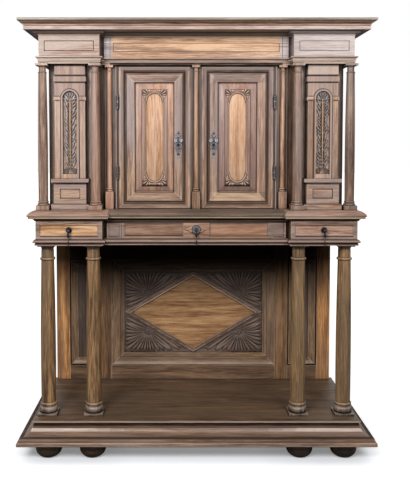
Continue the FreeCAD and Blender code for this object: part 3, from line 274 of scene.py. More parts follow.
def marks(tree, streaks, waxed, height_darkening, stains_shadows_highlights, tints):
    """For each mark how much of it there is, its paint, and whether it makes the wood matt."""
    found = []
    # The darkening by height: the painted shadow of the drawer tier on the stage, and darker lower
    # door panels.
    if height_darkening:
        low, high, share = height_darkening
        place = add(tree, "TexCoord").outputs["Object"]
        height = add(tree, "SeparateXYZ", [place]).outputs["Z"]
        found.append((add(tree, "MapRange", [height, low * MM, high * MM]), DARKENING, share, True))
    uneven = add(tree, "MapRange", [streaks, 0.35, 0.55, 0.7, 1.0])
    for x, z, half_x, half_z, paint, share, *edge in stains_shadows_highlights:
        stain = placed_mark(tree, uneven, x, z, half_x, half_z, *edge)
        found.append((stain, paint, share, True))
    for x, z, half_x, half_z, paint, share in tints:
        found.append((inside(tree, x, z, half_x, half_z, both=False), paint, share, False))
    for mark, paint, share, matt in found:
        share = add(tree, "Math", [waxed, share], "MULTIPLY")
        yield add(tree, "Math", [mark, share], "MULTIPLY"), paint, matt


print("soot is", [round(v, 4) for v in linear(SOOT_AND_SHADOW)[:3]], "in linear light")

# %% [markdown]
# All of it lies over the figure in layers of colour. Where wax and light have bleached the wood
# it has a bloom in long patches, but not on a field. Faces that look up are dusty and painted
# pale as if lit, faces that look down are painted dark as shade. In carving, depth decides: crests
# are rubbed, the ground is black.
# Faces that look to the rear were never waxed: they are raw brown oak.

# %% Old waxed oak
TONES = (0.42, 0.5, 0.585)     # where in the figure the dark, the middle and the pale wood lie
RAW_WOOD = "#4b3a2a #6a5540 #8a7359"


def field_over(tree, colour, figure, field_wood, fields, waxed):
    """The colour with a field of another wood tone on it, and where the field isn't."""
    within = 0.0
    for shape in fields:
        within = add(tree, "Math", [within, inside(tree, *shape)], "MAXIMUM")
    within = add(tree, "Math", [within, waxed], "MULTIPLY")
    field = add(tree, "ValToRGB", [figure], stops=(TONES, field_wood))
    colour = add(tree, "Mix", [within, colour, field], data_type="RGBA")
    return colour, add(tree, "Math", [1.0, within], "SUBTRACT")


def carved_layers(tree, ground, crest, worn, worn_share):
    """The black ground and the rubbed crest of a carving, by its depth."""
    place = add(tree, "TexCoord").outputs["Object"]
    depth = add(tree, "SeparateXYZ", [place]).outputs["Y"]
    for low, high, share, paint in ((0.7, 0.1, 0.94, "#150d09"), (0.7, 1.0, worn_share, worn)):
        start, end = (ground + (crest - ground) * part for part in (low, high))
        yield add(tree, "MapRange", [depth, start * MM, end * MM, 0.0, share]), paint


def oak(name, wood, along="x", bloom="#97857f", bloom_share=0.5, worn="#cbb39f", worn_share=0.5,
        grime_and_shade=1.0, gloss=0.42, shift=0.0, top_light_and_dust=0.3, fields=(), field_wood=None, raised=None,
        height_darkening=None, stains_shadows_highlights=(), tints=()):
    """Oak of three wood tones. The shift takes its grain from another part of the tree."""
    material, tree, shader = new_material(name)
    place = add(tree, "VectorMath", [grain_place(tree, along), (shift, shift * 1.7, shift * 0.6)])
    figure, streaks, pores = oak_figure(tree, place)
    normal = add(tree, "TexCoord").outputs["Normal"]
    _, rearward, upward = add(tree, "SeparateXYZ", [normal]).outputs
    raw = add(tree, "MapRange", [rearward, 0.95, 0.99, 0.0, 0.9])
    waxed = add(tree, "Math", [1.0, raw], "SUBTRACT")
    patches = drawn_out(tree, place, PATCHES, 4, 0.55)
    bloomed = add(tree, "MapRange", [patches, 0.45, 0.57, 0.0, bloom_share])
    colour = add(tree, "ValToRGB", [figure], stops=(TONES, wood))
    if fields:
        colour, beside = field_over(tree, colour, figure, field_wood, fields, waxed)
        bloomed = add(tree, "Math", [bloomed, beside], "MULTIPLY")
    raw_wood = add(tree, "ValToRGB", [figure], stops=(TONES, RAW_WOOD))
    pored = add(tree, "MapRange", [pores, 0.56, 0.7, 0.0, 0.4])
    # Faces that look up: dust, and painted light on their tops.
    dust_and_top_light = add(tree, "MapRange", [upward, 0.15, 0.7, 0.0, top_light_and_dust])
    # Painted shade on faces that look down.
    shaded = add(tree, "MapRange", [upward, -0.15, -0.8, 0.0, 0.55 * grime_and_shade])
    rubbed = closed_in(tree, 2.5, 0.92, 0.55, worn_share, inside=True, samples=4)
    # Old wax and soot where closed in, and painted shade in deep places.
    wax_and_shade = closed_in(tree, 60, 0.62, 0.1, 0.85 * grime_and_shade, samples=6)
    # Dirt and painted shade in lines beside mouldings.
    dirt_and_shade_lines = closed_in(tree, 7, 0.88, 0.45, 0.96 * grime_and_shade, samples=6)
    layers = [(bloomed, bloom), (raw, raw_wood), (pored, "#2a1a10"), (dust_and_top_light, "#c6ad97"),
              (shaded, "#24160e"), (rubbed, worn), (wax_and_shade, WAX_AND_SHADE_BROWN), (dirt_and_shade_lines, SOOT_AND_SHADOW)]
    if raised:
        layers += carved_layers(tree, *raised, worn, worn_share)
    dirt_and_shade = add(tree, "Math", [dirt_and_shade_lines, wax_and_shade], "MAXIMUM")
    for share, paint, matt in marks(tree, streaks, waxed, height_darkening, stains_shadows_highlights, tints):
        layers.append((share, paint))
        if matt:
            dirt_and_shade = add(tree, "Math", [dirt_and_shade, share], "MAXIMUM")
    for share, paint in layers:
        colour = add(tree, "Mix", [share, colour, paint], data_type="RGBA")
    polish = add(tree, "Math", [figure, -0.3, gloss + 0.15], "MULTIPLY_ADD")
    dull = add(tree, "Math", [dirt_and_shade, 0.9], "MULTIPLY")
    clean = add(tree, "Math", [1.0, dirt_and_shade], "SUBTRACT")
    relief = add(tree, "Math", [pored, -0.8, figure], "MULTIPLY_ADD")
    fill(tree, shader, {
        "Base Color": colour,
        "Roughness": add(tree, "Math", [polish, dull], "MAXIMUM"),
        "Specular IOR Level": add(tree, "Math", [clean, 0.5], "MULTIPLY"),
        "Normal": add(tree, "Bump", {"Height": relief, "Strength": 0.4, "Distance": 0.8 * MM})})
    return material


print("old oak ready, tones at", TONES)

# %% [markdown]
# Each part of the cupboard has aged in its own way, so each gets its own oak. The frames of the
# doors have a mauve bloom and dark lines along their inner edges, dirt and painted shade in the
# grooves. Painted shadows lie across their tops under the architrave and in the gap at their outer
# edges; on the right door the left stile is painted dark as the shadow of the middle half column
# and the right stile pale as lit. Their panels have a honey field on a raised table, whose groove
# holds dirt and painted shade, with a painted shadow under the table. The right panel has faded
# more than the left. A stain ends with its corner radius and the width of its line, where it has
# them.

# %% Finishes of the doors
DOOR_X, DOOR_Z = 176, 1341.25
PANEL_FIELD = [(DOOR_X, 1341, 32.5, 188, 32.5), (DOOR_X, 1341, 39, 152, 2)]
# Dirt and painted shade in the groove round the table, and a painted shadow under it.
TABLE_STAINS_AND_SHADOWS = [(DOOR_X, 1341, 55.5, 203.5, "#2a1b13", 0.85, 2, 2.6),
                (DOOR_X, 1137, 55, 4.5, "#120a06", 0.92)]
TABLE_STAINS_AND_SHADOWS += [(x, 1341, 1, 150, "#3a281d", 0.25) for x in (132.5, 139, 213, 219.5)]
TABLE_STAINS_AND_SHADOWS += [(x, z, 11.5, 11.5, "#3f2c20", 0.85, 4, 0) for x in (135.5, 216.5)
                 for z in (1529, 1152)]
dress(["left_door_frame", "right_door_frame"], oak(
    "door frame oak", "#614435 #90705f #b39887", ("front", DOOR_X, DOOR_Z, 152, 300.25),
    bloom="#988782", bloom_share=0.75, fields=[(DOOR_X, 1030, 300, 180, 20, 70)],
    field_wood="#5e4431 #9c7a5e #bf9b78",
    # Dark lines in the grooves, a painted shadow in the gap at the outer edge, and painted shadows
    # of the architrave across the top.
    stains_shadows_highlights=[(DOOR_X, DOOR_Z, 142.5, 292.5, "#4d3d39", 0.4, 2, 11),
            (327.5, 1340, 1.6, 310, SOOT_AND_SHADOW, 0.7),
            (DOOR_X, 1632, 160, 10, "#4a382c", 0.3),
            (DOOR_X, DOOR_Z, 132.5, 283.5, "#2b1e17", 0.83, 2, 15),
            (DOOR_X, 1337.75, 83, 233, DIRT_AND_SHADOW, 0.85, 2, 4),
            (DOOR_X, 1640, 160, 2.5, DIRT_AND_SHADOW, 0.8)],
    # Tints: the right door's left stile painted dark as the half column's shadow, its right stile
    # painted pale.
    tints=[(DOOR_X, 1590.5, 100, 18.5, "#4a2c16", 0.55),
           (75.8, 1341, 16.5, 232, "#2a1c18", 0.22),
           (276.2, 1341, 16.5, 232, "#c9a084", 0.25),
           (DOOR_X, 1088.7, 100, 16, "#e0c4a0", 0.3)]))
for side, name, shift, wood, field_wood in (
        ("left", "honey panel oak", 0.4, "#976750 #bf8f73 #d2ae94", "#9f6e46 #c4946f #dab294"),
        ("right", "faded panel oak", 0.9, "#805648 #a27867 #b39484", "#b3835e #cc9d78 #dfb595")):
    dress([side + "_door_panel"], oak(
        name, wood, "z", bloom="#947d76", shift=shift, stains_shadows_highlights=TABLE_STAINS_AND_SHADOWS, fields=PANEL_FIELD,
        # The panels are darker towards the bottom.
        field_wood=field_wood, height_darkening=(1500, 1120, 0.36)))
door_carving_oak = oak("door carving oak", "#6d4d3a #95705a #b79078", "z", bloom="#8f7a72",
                       worn="#bfa28d", worn_share=0.75, shift=0.8, raised=(-129, -132.2))
print("finishes with the doors:", len(bpy.data.materials))

# %% [markdown]
# The long frieze is a honey board between two blocks, the right one paler and greyer than the
# left. The crown is red brown with a grey band painted on its fascia as the sheen it catches.
# Under it the ceiling boards are painted pale at the ends as if lit and dark over the doors as the
# shadow of the crown. The architrave has a painted shadow along its foot. The waist moulding is
# darker in the middle, under the doors, with a painted shadow under it and dark and pale lines
# along the tier.

# %% Finishes of the crown and the waist
ACROSS = 900           # mm, half of more than the whole width
dress(["centre_frieze"], oak(
    "honey frieze oak", "#6d5d59 #9b8985 #b8a7a2", bloom="#a7a0a3", shift=1.3, grime_and_shade=0.6,
    fields=[(0, 1716.5, 351.5, 60)], field_wood="#85592f #bb8858 #dcae80"))
dress(["end_friezes", "bed_moulding"], oak(
    "faded frieze oak", "#7a5c49 #a58974 #bba694", "round the sides", bloom="#a59488",
    bloom_share=0.7, shift=2.1, tints=[(528, 1716.5, 136, 58, "#c2bcc4", 0.4),
                                       (-528, 1716.5, 136, 58, "#926250", 0.25)]))
dress(["architrave_moulding"], oak(
    "architrave oak", "#664735 #927059 #b3937c", "round the sides", bloom="#94827a",
    # A painted shadow along the foot of the architrave, and a pale line on its ends.
    shift=2.4, stains_shadows_highlights=[(0, 1648.3, 362, 4.8, SOOT_AND_SHADOW, 0.92), (785, 1662, 400, 2.4, "#d8c6b8", 0.7)]))
dress(["crown_moulding"], oak(
    "crown oak", "#523524 #855d45 #b0836a", "round the sides", bloom="#856655", shift=2.9,
    # The grey band on the fascia is a painted sheen.
    grime_and_shade=0.7, fields=[(0, 1782.5, ACROSS, 8.2)], field_wood="#846d62 #a99288 #c4b1a8"))
dress(["top_board"], oak(
    "crown edge oak", "#5c5046 #7f7261 #9f9382", "round the sides", bloom="#7f766b", shift=3.1))
dress(["crown_boards"], oak(
    "crown soffit oak", "#cfc5be #e0d8d2 #efe9e4", "round the sides", bloom="#d5ccc6",
    # Painted pale at the ends as lit, and dark over the doors as the shadow of the crown.
    grime_and_shade=0.1, shift=3.2, fields=[(0, 1770, 632, 200)],
    field_wood="#150e09 #20160f #2e2017"))
dress(["waist_moulding", "waist_board", "tier_moulding", "tier_floor"], oak(
    "waist oak", "#5e4030 #8e6c59 #ae8d7b", "round the sides", bloom="#8d7a74", shift=3.3,
    top_light_and_dust=0.1, fields=[(0, 1020, 366, 60, 4)], field_wood="#281d15 #49382e #6a584d",
    # A painted shadow under the waist moulding, and dark and pale lines along the waist and the
    # tier.
    stains_shadows_highlights=[(0, 1001, ACROSS, 6.2, "#20150b", 0.87), (0, 1010, ACROSS, 2.6, "#b59d7c", 0.6),
            (0, 916.5, ACROSS, 2.2, "#20130c", 0.8), (0, 900, ACROSS, 3.8, DIRT_AND_SHADOW, 0.85),
            (550, 904.5, 168, 3, DIRT_AND_SHADOW, 0.85)]))
print("finishes with the crown and the waist:", len(bpy.data.materials))

# %% [markdown]
# The boards beside the doors are nearly black, with pale strips painted as the light that falls in
# beside the niches, and a painted shadow in the gap beside each door. The niches are honey brown
# with a pale arch and a painted shadow under each step of their head, and their pedestals have a
# painted shadow under the cap. The foliage in them is grey from dust and its stem is rubbed.

# %% Finishes of the niches and their uprights
NICHE_X, NICHE_Z, NICHE_SHADE_LINE = 527, 1321.25, "#1d120c"
dress(["door_posts", "corner_boards"], oak(
    "upright oak", "#28190f #4d3423 #725036", "z", bloom="#4a3d37", shift=4.1,
    # Pale strips painted as light, and a painted shadow line in the gap beside the door.
    stains_shadows_highlights=[(x, 1340, half, 310, paint, share) for x, half, paint, share in (
        (338.5, 2.4, "#a5918a", 0.8), (334, 1.8, SOOT_AND_SHADOW, 0.9), (451, 11, "#f0e0d7", 1.0),
        (606.5, 12, "#c9b3a4", 0.9))]))
NICHE_STAINS_AND_SHADOWS = [(NICHE_X, 1577, 80, 70, "#968683", 0.6, 12, 0),
                (NICHE_X, NICHE_Z, 37.5, 219.5, "#a39089", 0.6, 37.5, 7.5)]
# Painted shadows under the steps of the niche head.
NICHE_STAINS_AND_SHADOWS += [(NICHE_X, z, 80, half, NICHE_SHADE_LINE, 0.85)
                 for z, half in ((1640, 5), (1597.5, 4.2), (1569, 3.4))]
NICHE_STAINS_AND_SHADOWS += [(NICHE_X, NICHE_Z, 40.5, 222.5, NICHE_SHADE_LINE, 0.85, 40.5, 3.2)]
NICHE_STAINS_AND_SHADOWS += [(x, z, 10.5, 1.5, "#241811", 0.8) for x in (475, 579) for z in (1512.5, 1495.5)]
dress(["niche_panels"], oak(
    "niche oak", "#73502f #a97f5f #cfa684", "z", bloom="#a39089", shift=5.2,
    stains_shadows_highlights=NICHE_STAINS_AND_SHADOWS, tints=[(478, 1336, 16, 165, "#4a3328", 0.75),
                                (583, 1336, 16, 165, "#4a3328", 0.28),
                                (530, 1622.5, 66, 19.5, "#dcc8b8", 0.4)]))
dress(["niche_pedestals"], oak(
    "pedestal oak", "#6b4c3a #98765f #b7957c", bloom="#a08d86", bloom_share=0.6, shift=5.4,
    # A painted shadow under the cap, and dark lines round the panel and along the foot.
    stains_shadows_highlights=[(NICHE_X, 1149, 200, 4.8, SOOT_AND_SHADOW, 0.93),
            (NICHE_X, 1105.5, 42.5, 20.5, NICHE_SHADE_LINE, 0.9, 1, 3),
            (NICHE_X, 1061.5, 200, 1.5, "#2b1d15", 0.7)]))
foliage_oak = oak("niche foliage oak", "#564843 #746560 #918179", "z", bloom="#7a7376",
                  worn="#a59a95", worn_share=0.6, shift=5.6, raised=(-168, -173.5),
                  tints=[(550, 1340, 100, 300, WAX_AND_SHADE_BROWN, 0.4)])
stem_oak = oak("niche stem oak", "#7a4f2c #a3744a #c4976b", "z", bloom="#9c7a5d", shift=5.9)
print("finishes with the niches:", len(bpy.data.materials))

# %% [markdown]
# The columns were turned and then handled most, so they are smooth. Tints paint light and shade
# on them: the left inner column and the left half column are painted paler, as on the side of the
# light, and the right outer column darker. The half columns beside the doors stand on darker
# pedestals. The sides of the cupboard are framed panels that were seldom waxed.

# %% Finishes of the upper columns and the sides
dress(["upper_columns"], oak(
    "upper column oak", "#553a2a #886854 #ad8d77", "z", bloom="#8a7a73", bloom_share=0.6,
    # Tints: painted shade on the right outer column, painted light on the left inner one.
    shift=6.4, grime_and_shade=1.15, tints=[(644, 1340, 60, 400, "#2a2420", 0.45),
                                  (-427, 1340, 50, 400, "#c18569", 0.17)]))
dress(["door_columns"], oak(
    "door column oak", "#6e492e #a1795e #c69f82", "z", bloom="#998783", shift=7.7,
    fields=[(0, 1072, 500, 38.5)], field_wood="#583923 #81614a #a08068",
    # The left half column is painted paler, as on the side of the light.
    stains_shadows_highlights=[(0, 1350, 50, 320, "#4a3324", 0.22)], tints=[(-366, 1340, 50, 400, "#dba082", 0.3)]))
dress(["side_frames"], oak("side frame oak", "#4f3829 #7d6150 #a08370",
                           ("side", 89.5, 1341.25, 196.5, 302.75), shift=17.2))
dress(["side_panels"], oak("side panel oak", "#523a2b #7f6250 #a08370", "z",
                           bloom="#8a766d", shift=17.9))
print("finishes with the columns and the sides:", len(bpy.data.materials))

# %% [markdown]
# A drawer front is one board. Its raised fields were waxed most and are lighter, with a painted
# shadow line under them. Across the top of the drawers lies the painted shadow of the waist
# moulding.

# %% Finishes of the drawers
DRAWER_SHADOW_LINE = "#20130c"
for side, shift, field_wood in (("left", 9.5, "#936337 #c4986d #dcb696"),
                                ("right", 9.9, "#684633 #9d7864 #b99887")):
    dress([side + "_drawer_front"], oak(
        side + " drawer oak", "#59402f #86695a #a88d7d", shift=shift,
        fields=[(528.75, 956.25, 118, 24, 2)], field_wood=field_wood,
        stains_shadows_highlights=[(528.75, 931.2, 121, 3.2, DRAWER_SHADOW_LINE, 0.8)]))
dress(["centre_drawer_front", "drawer_posts"], oak(
    "centre drawer oak", "#4c372c #6d564a #8f7668", shift=10.4, top_light_and_dust=0.15,
    fields=[(178, 956.25, 118, 26, 2), (0, 956.25, 53.5, 33, 2)],
    field_wood="#66442f #8f6b54 #ad8871",
    tints=[(-178, 956.25, 118, 26, WAX_AND_SHADE_BROWN, 0.25), (178, 956.25, 118, 26, "#b88869", 0.3)],
    # The painted shadow of the waist moulding across the top, a painted shadow line under the
    # fields and a pale line below it.
    stains_shadows_highlights=[(0, 988, ACROSS, 4, SOOT_AND_SHADOW, 0.9), (178, 931.2, 122, 3.2, DRAWER_SHADOW_LINE, 0.8),
            (178, 924, 122, 3.8, "#b08458", 0.4)]))
print("finishes with the drawers:", len(bpy.data.materials))

# %% [markdown]
# The open stage is painted dark under the drawers, as the shadow of the drawer tier that fades
# downwards, and is honey coloured lower down. Its back is a frame of rails and mouldings round a
# panel with a lozenge; the top rail and the top of the frame are painted nearly black as that
# shadow. The inner uprights are painted dark as the shade of the columns, the outer ones pale as
# in the light.

# %% Finishes of the stage
# The painted shadow of the drawer tier on the back of the stage.
TIER_SHADOW = (470, 760, 0.94)      # from this height, all of it from that height, and its share
dress(["lower_columns"], oak(
    "lower column oak", "#46311e #7c5c3b #a8835b", "z", bloom="#79654b", shift=8.8,
    fields=[(0, 180, ACROSS, 20.5)], field_wood="#37302c #5f554f #8a7f78"))
dress(["back_panels"], oak(
    "back panel oak", "#3b2d24 #5a473c #796458", "x, upright at the sides",
    bloom="#5c4d46", shift=10.3, height_darkening=TIER_SHADOW, fields=[(0, 493, 338, 201, None)],
    field_wood="#755130 #a2764d #bf956a"))
dress(["back_rails"], oak(
    "back rail oak", "#4a3423 #6e523c #8d6f55", bloom="#66503f", shift=10.9,
    # The dark field paints the top rail black as shadow.
    height_darkening=TIER_SHADOW, fields=[(0, 830, 800, 90, 2, 12)],
    field_wood="#0f0906 #191009 #2a1c12"))
dress(["back_mouldings"], oak(
    "back frame oak", "#4f3824 #7d5f43 #a38563", ("front", 0, 493, 400, 263),
    bloom="#7d6858", worn_share=0.6, shift=11.1, height_darkening=TIER_SHADOW,
    # The dark field paints the top of the frame black as shadow.
    fields=[(0, 800, 700, 105, 2, 12)], field_wood="#160d08 #291b11 #43301f"))
dress(["lozenge_moulding"], oak(
    "lozenge oak", "#4a382d #735c4e #9a8171", bloom="#7d6a60", shift=11.4, height_darkening=TIER_SHADOW))
dress(["back_stiles"], oak(
    "back upright oak", "#895b35 #c38852 #eeb273", "z", bloom="#947457", shift=11.9,
    # The dark field paints the inner uprights as shaded by the columns.
    height_darkening=TIER_SHADOW, fields=[(427, 500, 50, 500)],
    field_wood="#3b2b1e #5e4733 #80654a"))
lozenge_bead_oak = oak("lozenge bead oak", "#8b6a58 #b08b77 #c9a592", bloom="#b3917f",
                       # Tops painted pale as lit, and the lower bars painted dark as shade.
                       worn_share=0.3, grime_and_shade=1.5, top_light_and_dust=0.6, shift=11.6, height_darkening=(540, 790, 0.85),
                       stains_shadows_highlights=[(0, 390, 500, 102, "#35261c", 0.8)])
carving_oak = oak("carved back oak", "#382922 #554239 #725d51", bloom="#655550",
                  worn="#8f7a6e", worn_share=0.75, shift=12.2, raised=(270, 263.5),
                  height_darkening=(470, 760, 0.92))
print("finishes with the stage:", len(bpy.data.materials))

# %% [markdown]
# The pot board is nearly black from feet and mops, with a painted highlight along its front edge
# and a painted shadow under its nosing. The base under it has painted highlights along the top of
# its moulding, strongest towards both ends, which takes a few soft stains that overlap, and
# painted shadow lines under the nosing and between its steps.

# %% Finishes of the base
# Painted light and shade on the base moulding: shadow under the nosing, highlights on the cove and
# steps, shadow lines between.
BASE_LIGHT_AND_SHADE = [(0, 111, ACROSS, 8, "#5d4638", 0.4), (0, 129, 420, 6, "#5d4638", 0.45, 3, 0),
               (0, 134.5, ACROSS, 4.5, "#3d2a20", 0.7), (0, 141, ACROSS, 3, "#120a06", 0.92),
               (0, 96, ACROSS, 5, "#9a7f6c", 0.35), (0, 104.2, ACROSS, 1.6, "#1a100a", 0.8),
               (0, 78.7, ACROSS, 2.2, "#b59f90", 0.5)]
# Painted highlights on the moulding, strongest towards both ends.
BASE_LIGHT_AND_SHADE += [(start + 600, 123.8, 600, 5.5, "#e6d0c2", 0.13, 4, 0)
                for start in (300, 360, 410, 450, 500)]
dress(["base_board", "base_moulding"], oak(
    "base oak", "#4a3425 #7b5e4b #a68770", "round the sides", bloom="#947f74",
    shift=12.7, top_light_and_dust=0.1, stains_shadows_highlights=BASE_LIGHT_AND_SHADE))
dress(["pot_board"], oak(
    "pot board oak", "#342517 #57402d #7a5f46", bloom="#655442", gloss=0.5, shift=13.6,
    # A painted highlight on the front edge of the nosing, and a painted shadow under it.
    top_light_and_dust=0.0, stains_shadows_highlights=[(0, 155.3, ACROSS, 3.5, "#c4a896", 0.6), (0, 147, ACROSS, 4.8, SOOT_AND_SHADOW, 0.9)]))
dress(["bun_feet"], oak("foot oak", "#1a0f06 #35220f #5a3d1e", bloom="#2c2119", shift=14.2))
print("finishes with the base:", len(bpy.data.materials))

# %% [markdown]
# What is inside or behind was planed and never waxed. The outer walls of the drawer case show
# on the sides of the cupboard, so they are browner there.

# %% Finishes of the inside
PLANED = "#6d5238 #8f7352 #a98e6b"
dress(["base_bearers", "drawer_runners", "left_drawer_box", "centre_drawer_box",
       "right_drawer_box", "cabinet_shelf", "cabinet_ceiling"], oak(
    "unwaxed oak", PLANED, bloom="#7d6850", bloom_share=0.4, worn_share=0.1, gloss=0.6, shift=15.1))
dress(["drawer_case_frame"], oak(
    "drawer case oak", PLANED, "round the sides", bloom="#7d6850", bloom_share=0.4,
    worn_share=0.1, shift=15.6, fields=[(800, 950, 115, 150)],
    field_wood="#4c3626 #7a5d4a #9c7e69"))
dress(["cabinet_back"], oak(
    "unwaxed upright oak", "#644b33 #84694b #9f8462", "z", bloom="#746049",
    bloom_share=0.4, worn_share=0.1, gloss=0.6, shift=16.3))
print("oak finishes:", len(bpy.data.materials))

# %% [markdown]
# The fittings are forged iron, dark from fire scale and wax, with brighter metal where keys and
# fingers rub. It is a metal in the shader's sense, fairly rough, with a hammered surface.

# %% Forged iron
HAMMER_MARKS = 260     # in a metre, so about 4 mm wide


def forged_iron(name, tones, rubbed):
    material, tree, shader = new_material(name)
    place = add(tree, "TexCoord").outputs["Object"]
    hammer = add(tree, "TexNoise", {"Vector": place, "Scale": HAMMER_MARKS, "Detail": 3.0})
    colour = add(tree, "ValToRGB", [hammer], stops=((0.35, 0.55, 0.72), tones))
    wear = closed_in(tree, 1.5, 0.9, 0.5, 0.8, inside=True, samples=4)
    black = closed_in(tree, 5, 0.85, 0.4, 0.95, samples=6)
    for share, paint in ((wear, rubbed), (black, "#0b0908")):
        colour = add(tree, "Mix", [share, colour, paint], data_type="RGBA")
    fill(tree, shader, {
        "Metallic": 0.75, "Base Color": colour,
        "Roughness": add(tree, "MapRange", [hammer, 0.0, 1.0, 0.6, 0.35]),
        "Normal": add(tree, "Bump", {"Height": hammer, "Strength": 0.5, "Distance": 0.8 * MM})})
    return material


iron = forged_iron("forged iron", "#262425 #474447 #78747a", "#d0cbce")
black_iron = forged_iron("black iron of the pulls", "#111010 #211f21 #3b383d", "#757177")
# A black material painted as the shade inside the keyhole.
keyhole_shade, tree, shader = new_material("black inside of the lock")
fill(tree, shader, {"Base Color": "#060505", "Roughness": 0.9})
iron_nodes = [name for name in nodes if "pull" in name or "hinge" in name or "lock" in name]
dress(iron_nodes, iron)
dress([name for name in iron_nodes if "pull" in name], black_iron)
print("iron nodes:", len(iron_nodes))

# %% [markdown]
# The carver cut all the foliage with a few gouges, so every leaf is the same narrow lobe with a
# shallow groove down its middle, only longer, shorter or bent. It is modelled once: a small ring
# of twelve points is extruded along its length and widened or narrowed at each step, and then
# the points of the crest are pushed in to make the groove. Copies are scaled, bent and turned.

# %% One carved leaf
LEAF_LENGTH, LEAF_WIDTH, LEAF_HEIGHT = 100 * MM, 16 * MM, 7 * MM
LEAF_SHARES = ((0.04, 0.34, 0.55), (0.3, 0.56, 0.85), (0.6, 0.84, 1.0), (0.8, 1.0, 0.95),
               (0.92, 0.86, 0.8), (0.985, 0.5, 0.45), (1.0, 0.12, 0.12))


def new_piece(name, add_primitive, **settings):
    bpy.ops.object.select_all(action="DESELECT")
    add_primitive(**settings)
    piece = bpy.context.object
    piece.name = name
    bpy.ops.object.transform_apply(location=True, rotation=True, scale=True)
    return piece


def pick(piece, wanted):
    """In edit mode, selects the points for which wanted(place) is true."""
    bpy.ops.mesh.select_mode(type="VERT")
    bpy.ops.mesh.select_all(action="DESELECT")
    points = bmesh.from_edit_mesh(piece.data)
    for point in points.verts:
        point.select = bool(wanted(point.co))
    points.select_flush(True)
    bmesh.update_edit_mesh(piece.data)


def carved_leaf():
    leaf = new_piece("leaf_pattern", bpy.ops.mesh.primitive_circle_add, vertices=12,
                     radius=LEAF_WIDTH / 2, fill_type="NGON", rotation=(0, math.pi / 2, 0))
    bpy.ops.object.mode_set(mode="EDIT")
    bpy.ops.mesh.select_all(action="SELECT")
    along, wide, high = 0, 0.12, 0.2
    bpy.ops.transform.resize(value=(1, high * 2 * LEAF_HEIGHT / LEAF_WIDTH, wide))
    for next_along, next_wide, next_high in LEAF_SHARES:
        step = (next_along - along) * LEAF_LENGTH
        bpy.ops.mesh.extrude_region_move(TRANSFORM_OT_translate={"value": (step, 0, 0)})
        bpy.ops.transform.resize(value=(1, next_high / high, next_wide / wide),
                                 center_override=(next_along * LEAF_LENGTH, 0, 0))
        along, wide, high = next_along, next_wide, next_high
    pick(leaf, lambda p: p.y < 0 and abs(p.z) < 0.01 * MM and p.x < 0.97 * LEAF_LENGTH)
    bpy.ops.transform.resize(value=(1, 0.78, 1), center_override=(0, 0, 0))
    bpy.ops.mesh.select_all(action="SELECT")
    bpy.ops.mesh.normals_make_consistent(inside=False)
    bpy.ops.object.mode_set(mode="OBJECT")
    bpy.ops.object.shade_smooth_by_angle(angle=math.radians(50))
    return leaf


leaf = carved_leaf()
print("leaf:", len(leaf.data.polygons), "faces")

# %% [markdown]
# A bent leaf needs points along its length to bend at, and its rings are such points: each is
# moved onto an arc in the plane of the panel. Laying a leaf down is a scale, a turn about the
# front-to-back axis and a move, which matrices do to the mesh itself, so that every carved piece
# stays at the origin like the frame's own.

# %% Bending and laying a leaf


def lay(pattern, place, angle=0.0, size=(1, 1, 1), bend=0.0):
    """A copy of a pattern on the plane of its panel; angle 0 points right, 90 degrees up."""
    copy = bpy.data.objects.new(pattern.name, pattern.data.copy())
    bpy.context.scene.collection.objects.link(copy)
    copy.data.transform(Matrix.Diagonal((*size, 1)))
    if bend:
        middle = LEAF_LENGTH * size[0] / bend
        for point in copy.data.vertices:
            x, y, z = point.co
            turn = x / middle
            point.co = ((middle - z) * math.sin(turn), y, middle - (middle - z) * math.cos(turn))
    copy.data.transform(Matrix.Translation(place) @ Matrix.Rotation(-angle, 4, "Y"))
    return copy


def joined(name, parts, material, body, slot):
    """One carved piece from its parts, with its finish, its body and its slot."""
    bpy.ops.object.select_all(action="DESELECT")
    for part in parts:
        part.select_set(True)
    bpy.context.view_layer.objects.active = parts[0]
    bpy.ops.object.join()
    piece = bpy.context.object
    piece.name = name
    piece.data.materials.clear()
    piece.data.materials.append(material)
    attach(piece, body)
    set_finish(piece, slot)
    return piece


print("leaves can be laid from", LEAF_LENGTH, "m long patterns")

# %% [markdown]
# The wide back panel has a lozenge, and each of the four corners outside it holds a sunburst: a
# few beads beside the lozenge, from which broad rays run to the frame. Each ray's length is the
# way to the nearest edge in its direction. Two long leaves curl along the lozenge. One corner is
# carved and then mirrored. A worn bead lines the inner edge of the lozenge: its upper side is
# painted pale as lit, and on the lower bars it is painted dark as their shade.

# %% Sunbursts in the back panel


def mm(right, out=0, up=0):
    """A place or a way in millimetres."""
    return Vector((right, out, up)) * MM


def heading(angle):
    """A way of one metre on the front: angle 0 points right, 90 degrees up."""
    return Vector((math.cos(angle), 0, math.sin(angle)))


panel_low, panel_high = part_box("lozenge_moulding")
panel_face = panel_high.y
lozenge_half = Vector(((panel_high.x - panel_low.x) / 2, 0, (panel_high.z - panel_low.z) / 2))
panel_middle = Vector((0, panel_face, (panel_low.z + panel_high.z) / 2))
BAND_WIDTH = 20 * MM
BURST_SPOT = mm(222, 0, 98)     # the beads' place from the panel's middle
BURST_MARGIN = 3 * MM
RAYS, RAY_START = 17, 15 * MM
WIDEST_RAY, NARROWEST_RAY = 18 * MM, 10 * MM
slope_angle = math.atan2(-lozenge_half.z, lozenge_half.x)
slope_way = heading(slope_angle)
slope_out = Vector((-slope_way.z, 0, slope_way.x))


def reach_in_corner(spot, angle):
    """How far a ray can run from the spot before it meets the frame."""
    room = []
    if math.cos(angle) > 0.01:
        room.append((lozenge_half.x - BURST_MARGIN - spot.x) / math.cos(angle))
    if math.sin(angle) > 0.01:
        room.append((lozenge_half.z - BURST_MARGIN - spot.z) / math.sin(angle))
    return min(room)


